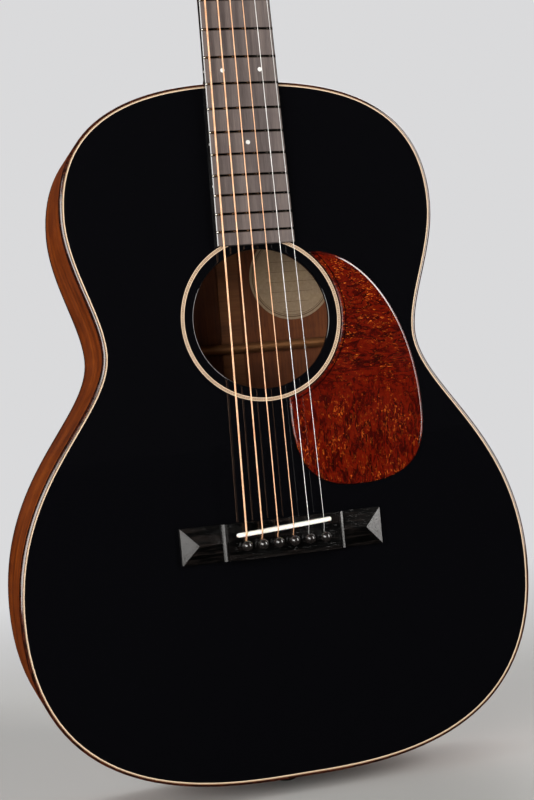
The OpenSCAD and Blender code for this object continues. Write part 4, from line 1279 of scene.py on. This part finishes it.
def dot_pegs(shape, lift):
    for x, n in DOTS:
        y = board_y(x)
        seat, top = y + 1.4, y - lift * 1.5
        rim = [(0, seat), (DOT_R, seat), (DOT_R, y - lift), (DOT_R - 0.15, top), (0, top)]
        spin(shape, rim, along_y(x, between(n)), 28)
    for n in SIDE_DOTS:
        z = between(n)
        reach = board_half(z)
        rim = [(0, reach - 1.5), (0.9, reach - 1.5), (0.9, reach + lift), (0, reach + lift)]
        spin(shape, rim, lambda a, b, h, z=z: (-h, -BOARD_THICK / 2 + a, z + b), 24)


def fingerboard():
    shape = Shape()
    rings = []
    count = 16
    chamfer_w, chamfer_h = 0.6, 0.5
    for z in (NUT_Z, BOARD_END_Z):
        half = board_half(z)
        flat = half - chamfer_w
        edge = board_y(half) + chamfer_h
        across = [flat * (2 * k / count - 1) for k in range(count + 1)]
        ring = [(x, board_y(x), z) for x in across]
        ring += [(half, edge, z), (half, 0, z), (-half, 0, z), (-half, edge, z)]
        rings.append(ring)
    loft(shape, rings, kinds=[0] * count + [1] * 5)
    obj = make_mesh("fingerboard_visual", shape)
    room = Shape()
    for n in range(1, FRET_COUNT + 1):
        fret_bar(room, n, 0.01, True)
    dot_pegs(room, 0.3)
    boolean(obj, room)
    show(obj, "fingerboard", [M_BOARD, M_BOARD_SHADED_EDGE], "ebony", sharp=25)
    wires = Shape()
    for n in range(1, FRET_COUNT + 1):
        fret_bar(wires, n)
    stand_in("frets", wires, [M_FRET], "nickel_silver", sharp=30)
    dots = Shape()
    dot_pegs(dots, 0.03)
    stand_in("fret_markers", dots, [M_PEARL], "pearl", sharp=50)


# ---------------------------------------------------------------- strings and tuners


def string_path(i):
    """Ball end, under the bridge plate, up the pin's groove, over saddle and nut, to its post."""
    r = STRING_RADII[i]
    zs = SADDLE_Z + string_x(i, SADDLE_Z) * math.tan(SADDLE_SLANT)
    xs, xn, xp = string_x(i, zs), string_x(i, NUT_Z), string_x(i, PIN_Z)
    bore = PIN_TOP_R - (TOP_T + PLATE_T + BRIDGE_H) * (PIN_TOP_R - PIN_TIP_R) / PIN_LENGTH
    side = bore - r - 0.05
    under = TOP_T + PLATE_T + 0.1 + r
    ball = Vector((xp, TOP_T + PLATE_T + 2.05, PIN_Z + side + 2.5))
    bend = Vector((xp, under, PIN_Z + side))
    px, pz = post_spot(i)
    wrap = POST_R + 2.8 * r + 0.08
    return [bend + (ball - bend) * 0.3, bend, Vector((xp, -BRIDGE_H, PIN_Z + side)),
            Vector((xs, -SADDLE_TOP - 0.5 * r + crown_drop(xs), zs)),
            Vector((xn, -BOARD_THICK - FRET_CROWN - 0.5 - r + crown_drop(xn), NUT_Z + 0.5)),
            Vector(head((px - post_side(i) * wrap, WRAP_Y, pz)))]


def eased(path, radius):
    """Rounds a path's corners."""
    out = [path[0]]
    for a, p, b in zip(path, path[1:], path[2:]):
        before = p + (a - p).normalized() * min(radius, (a - p).length * 0.4)
        after = p + (b - p).normalized() * min(radius, (b - p).length * 0.4)
        for k in range(5):
            t = k / 4
            out.append(before * (1 - t) ** 2 + p * 2 * t * (1 - t) + after * t * t)
    out.append(path[-1])
    return out


def strings():
    for node, members, material, slot in (("wound_strings", range(WOUND), M_WOUND, "bronze_wound"),
                                          ("plain_strings", range(WOUND, 6), M_PLAIN, "plain_steel")):
        shape = Shape()
        for i in members:
            tube(shape, eased(string_path(i), 1.2), STRING_RADII[i], 12)
        stand_in(node, shape, [material], slot, sharp=60)


def tuner_post(i):
    """Post with its string hole, gear wheel and the turns of string on it."""
    shape = Shape()
    end = GEAR_Y + 1.6
    waist = POST_R - 0.12
    profile = [(0, POST_TOP + 2), (1.2, POST_TOP + 2), (1.2, POST_TOP), (POST_R - 0.5, POST_TOP),
               (POST_R, POST_TOP + 0.5), (POST_R, -8.5), (waist, -8.2), (waist, -3.6), (POST_R, -3.3),
               (POST_R, end - 0.3), (POST_R - 0.3, end), (0, end)]
    spin(shape, profile, on_post(i), 40)
    obj = make_mesh(f"tuner_post_{i + 1}_visual", shape)
    room = Shape()
    x, z = post_spot(i)
    spin(room, [(0.9, -10), (0.9, 10)], lambda a, b, h: head((x + a, POST_TOP + 4.5 + b, z + h)), 24)
    boolean(obj, room)
    body = f"post_{i + 1}"
    show(obj, f"tuner_post_{i + 1}", [M_NICKEL], "nickel", body, sharp=40)
    gear = make_mesh(f"tuner_gear_{i + 1}", gear_wheel(on_post(i)))
    show(gear, None, [M_BRASS], "brass", body, sharp=40)
    wrap = make_mesh(f"string_turns_{i + 1}", string_turns(i, on_post(i)))
    metal_kind, slot = (M_WOUND, "bronze_wound") if i < WOUND else (M_PLAIN, "plain_steel")
    show(wrap, None, [metal_kind], slot, body, sharp=60)


def gear_wheel(place):
    """Toothed rim round the post, a tooth's edges drawn in on both faces."""
    count = GEAR_TEETH * 12
    shape = Shape()
    rings = []
    for k in range(count):
        a = 2 * math.pi * k / count
        x, z = math.cos(a), math.sin(a)
        r = GEAR_R - WORM_THROW * 0.95 * math.cos(GEAR_TEETH * (a + math.pi / 2))
        section = [(POST_R, -0.8), (r * 0.97, -0.8), (r, -0.6), (r, 0.6), (r * 0.97, 0.8), (POST_R, 0.8)]
        rings.append([place(reach * x, reach * z, GEAR_Y + y) for reach, y in section])
    loft(shape, rings, path_closed=True)
    return shape


def string_turns(i, place):
    """The string's turns on the post."""
    r = STRING_RADII[i]
    turn_steps = 32
    hand = -post_side(i)
    path = []
    for k in range(STRING_TURNS * turn_steps + 1):
        turn = k / turn_steps
        a = hand * 2 * math.pi * turn
        depth = WRAP_Y + 2.15 * r * (turn - STRING_TURNS / 2)
        path.append(place((POST_R + r) * math.cos(a), (POST_R + r) * math.sin(a), depth))
    shape = Shape()
    tube(shape, path, r, 10)
    return shape


def tuner_knob(i):
    """Worm with its shaft, and the button it is turned by."""
    x, z = post_spot(i)
    side = post_side(i)
    body = f"knob_{i + 1}"

    def outward(a, b, h):
        """Places a spun profile about the worm's axis, heights running out from the headstock."""
        return head((x + side * h, GEAR_Y + a, z - WORM_OFFSET + b))

    worm = make_mesh(f"tuner_worm_{i + 1}", worm_shaft(outward, side))
    show(worm, None, [M_NICKEL], "nickel", body, sharp=40)
    half = [(0.15, 1.3), (0.7, 2.3), (1.7, 2.95), (3.0, 3.1)]
    layers = [(inset, -y) for inset, y in reversed(half)] + [(0, 0)] + half
    button = Shape()
    loft(button, [[outward(y, b, BUTTON_REACH + a) for a, b in oval(inset)] for inset, y in layers])
    knob = make_mesh(f"tuner_knob_{i + 1}_visual", button)
    show(knob, f"tuner_knob_{i + 1}", [M_BUTTON], "button_cream", body, sharp=60)


def worm_shaft(outward, side):
    """Single-start worm on a shaft that ends in the button's collar."""
    shape = Shape()
    steps, around = 88, 24
    circle = [2 * math.pi * m / around for m in range(around)]
    section = [(WORM_R * math.sin(t), WORM_R * math.cos(t)) for t in circle]
    rings = []
    for k in range(steps + 1):
        along = -WORM_LENGTH / 2 + WORM_LENGTH * k / steps
        phase = math.pi + 2 * math.pi * along / WORM_PITCH
        cy, cz = WORM_THROW * math.sin(phase), -WORM_THROW * math.cos(phase)
        rings.append([outward(cy + y, cz + z, side * along) for y, z in section])
    loft(shape, rings)
    shaft = [(0, -7.6), (1.9, -7.6), (2.2, -7.3), (2.2, -6.4), (1.5, -6.2), (1.5, 6.2), (2.2, 6.2),
             (2.2, 7.4), (1.5, 7.5), (1.5, 16), (2.2, 16), (2.5, 17), (3.2, 19), (2.8, 19.6), (0, 19.6)]
    spin(shape, shaft, outward, 32)
    return shape


def oval(inset):
    """Outline of the button, slightly waisted, moved in by inset."""
    r = BUTTON_R - inset
    loop = arc(0, BUTTON_STRAIGHT, r, 0, 180, 20) + arc(0, -BUTTON_STRAIGHT, r, 180, 360, 20)
    return [(a * (1 - 0.05 * math.exp(-(b / 3.0) ** 2)), b) for a, b in loop]


def bushings():
    shape = Shape()
    profile = [(3.05, 6.5), (4.5, 6.5), (4.5, -1.5), (5.8, -1.5), (5.75, -1.9), (5.4, -2.25), (5.0, -2.4),
               (3.4, -2.4), (3.05, -2.1)]
    for i in range(6):
        spin(shape, profile, on_post(i), 48, closed=True)
    stand_in("tuner_bushings", shape, [M_NICKEL], "nickel", sharp=40)


def strap_button():
    shape = Shape()
    profile = [(0, -22), (2.6, -22), (3.3, 0), (7.2, 0), (7.5, 0.3), (7.5, 1.2), (7.1, 1.5), (4.9, 2.4),
               (4.4, 3.6), (4.4, 5), (4.7, 6.8), (5.4, 7.6), (6.6, 7.95), (7, 8.6), (7, 12), (6.6, 12.8),
               (5.5, 13.25), (3, 13.52), (0, 13.6)]
    spin(shape, profile, lambda a, b, h: (a, BUTTON_Y + b, BODY_TAIL_Z - h), 64)
    stand_in("strap_button", shape, [M_PIN], "black_plastic", sharp=50)


# ---------------------------------------------------------------- CAD pieces that keep their own shape

CAD_LOOKS = {
    "kerfed_linings": (M_MAPLE, 0.0),
    "tail_block": (M_BLOCK, 0.5),
    "neck_block": (M_BLOCK, 0.5),
    "x_braces": (M_SPRUCE_X, 0.4),
    "transverse_brace": (M_SPRUCE_X, 0.4),
    "tone_bars": (M_SPRUCE_X, 0.4),
    "finger_braces": (M_SPRUCE_X, 0.4),
    "back_reinforcement": (M_STRIP, 0.3),
    "bridge_plate": (M_MAPLE, 0.3),
    "nut": (M_BONE, 0.15),
    "truss_rod": (M_STEEL, 0.0),
    "truss_rod_nut": (M_BRASS, 0.15),
    "neck_bolts": (M_STEEL, 0.2),
    "ball_ends": (M_BRASS, 0.15),
    "tuner_plates": (M_NICKEL, 0.15),
    "tuner_screws": (M_NICKEL, 0.0),
}


def dress_cad():
    for name, (material, bevel) in CAD_LOOKS.items():
        dress(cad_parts[name], [material], 35, bevel)


# ---------------------------------------------------------------- stage


BACKDROP = (0.7, 0.7, 0.71, 1)
WORLD_LIGHT = (0.07, 0.07, 0.072, 1)
WORLD_IN_GLOSS = (0.008, 0.008, 0.008, 1)


def floor_paint():
    """Pale floor that fades into the backdrop with distance and stays dark in polished surfaces."""
    p = Paint("floor_paint")
    path = p.node("ShaderNodeLightPath")
    grain = p.noise((3, 3, 3), 2)
    pale = p.mix(grain, (0.6, 0.6, 0.59, 1), (0.57, 0.57, 0.56, 1))
    tone = p.mix(path.outputs["Is Glossy Ray"], pale, (0.001, 0.001, 0.001, 1))
    cloth = p.node("ShaderNodeBsdfDiffuse", {"Color": tone}).outputs[0]
    glow = p.node("ShaderNodeEmission", {"Color": BACKDROP}).outputs[0]
    reach = p.node("ShaderNodeVectorMath", {0: p.place}, operation="LENGTH").outputs["Value"]
    share = p.times(p.span(reach, 0.45, 1.3), path.outputs["Is Camera Ray"])
    both = p.node("ShaderNodeMixShader", {0: share, 1: cloth, 2: glow})
    p.node("ShaderNodeOutputMaterial", {"Surface": both.outputs[0]})
    return p.material


LAMP_TARGET = Vector((0, -0.05, 0.3))
LAMPS = {
    "soft_left": ((-1.0, -1.37, 0.35), (0.93, 1.0), 25, (1, 0.98, 0.95)),
    "soft_right": ((1.32, -1.12, 0.65), (0.46, 1.6), 28, (1, 0.97, 0.94)),
    "soft_side": ((-1.55, -0.75, 0.7), (0.8, 1.0), 12, (1, 0.98, 0.95)),
    "soft_top": ((0.3, 1.3, 2.2), (1.6, 1.0), 14, (1, 1, 1)),
    "soft_back": ((0.9, 1.6, 1.2), (1.2, 1.2), 16, (1, 1, 1)),
}


def area_light(name, spot, size, power, colour):
    """Soft lamp aimed at the body, itself out of sight."""
    data = bpy.data.lights.new(name, "AREA")
    data.shape = "RECTANGLE"
    data.size, data.size_y = size
    data.energy = power
    data.color = colour
    lamp = bpy.data.objects.new(name, data)
    bpy.context.scene.collection.objects.link(lamp)
    lamp.location = spot
    lamp.rotation_euler = (LAMP_TARGET - Vector(spot)).to_track_quat("-Z", "Y").to_euler()
    lamp.visible_camera = False


def backdrop():
    """World: the backdrop's tone for the camera, little light elsewhere and less still in gloss."""
    world = bpy.data.worlds.new("studio")
    world.use_nodes = True
    tree = world.node_tree
    path = tree.nodes.new("ShaderNodeLightPath")
    light = tree.nodes.new("ShaderNodeMix")
    light.data_type = "RGBA"
    light.inputs[6].default_value = WORLD_LIGHT
    light.inputs[7].default_value = WORLD_IN_GLOSS
    seen = tree.nodes.new("ShaderNodeMix")
    seen.data_type = "RGBA"
    seen.inputs[7].default_value = BACKDROP
    tree.links.new(path.outputs["Is Glossy Ray"], light.inputs[0])
    tree.links.new(path.outputs["Is Camera Ray"], seen.inputs[0])
    tree.links.new(light.outputs[2], seen.inputs[6])
    tree.links.new(seen.outputs[2], tree.nodes["Background"].inputs["Color"])
    bpy.context.scene.world = world


def stage():
    low = cad_bounds[0][2]
    half = 9
    mesh = bpy.data.meshes.new("floor")
    corners = [(-half, -half, low), (half, -half, low), (half, half, low), (-half, half, low)]
    mesh.from_pydata(corners, [], [(0, 1, 2, 3)])
    floor = bpy.data.objects.new("floor", mesh)
    floor.data.materials.append(floor_paint())
    bpy.context.scene.collection.objects.link(floor)
    backdrop()
    for name, values in LAMPS.items():
        area_light(name, *values)


FOCAL_PX = 1417.38
FRAME_H_PX = 800
SENSOR = 36
EYE = (-272.646, -996.502, -235.743)
FORWARD = Vector((0.262243, 0.964989, 0.004928))
UP = Vector((0.087855, -0.028960, 0.995712))


def camera():
    data = bpy.data.cameras.new("camera")
    data.sensor_fit = "VERTICAL"
    data.sensor_height = SENSOR
    data.lens = SENSOR * FOCAL_PX / FRAME_H_PX
    data.clip_start = 0.01
    cam = bpy.data.objects.new("camera", data)
    bpy.context.scene.collection.objects.link(cam)
    back_axis = -FORWARD.normalized()
    right = UP.cross(back_axis).normalized()
    up = back_axis.cross(right)
    cam.matrix_world = Matrix.Translation(at(EYE)) @ Matrix((right, up, back_axis)).transposed().to_4x4()
    bpy.context.scene.camera = cam
    bpy.context.scene.view_settings.view_transform = "Standard"


soundboard()
trim()
sides()
back()
back_braces()
rosette()
pickguard()
label()
bridge()
saddle()
bridge_pins()
neck()
headplate()
fingerboard()
strings()
for number in range(6):
    tuner_post(number)
    tuner_knob(number)
bushings()
strap_button()
dress_cad()
stage()
camera()
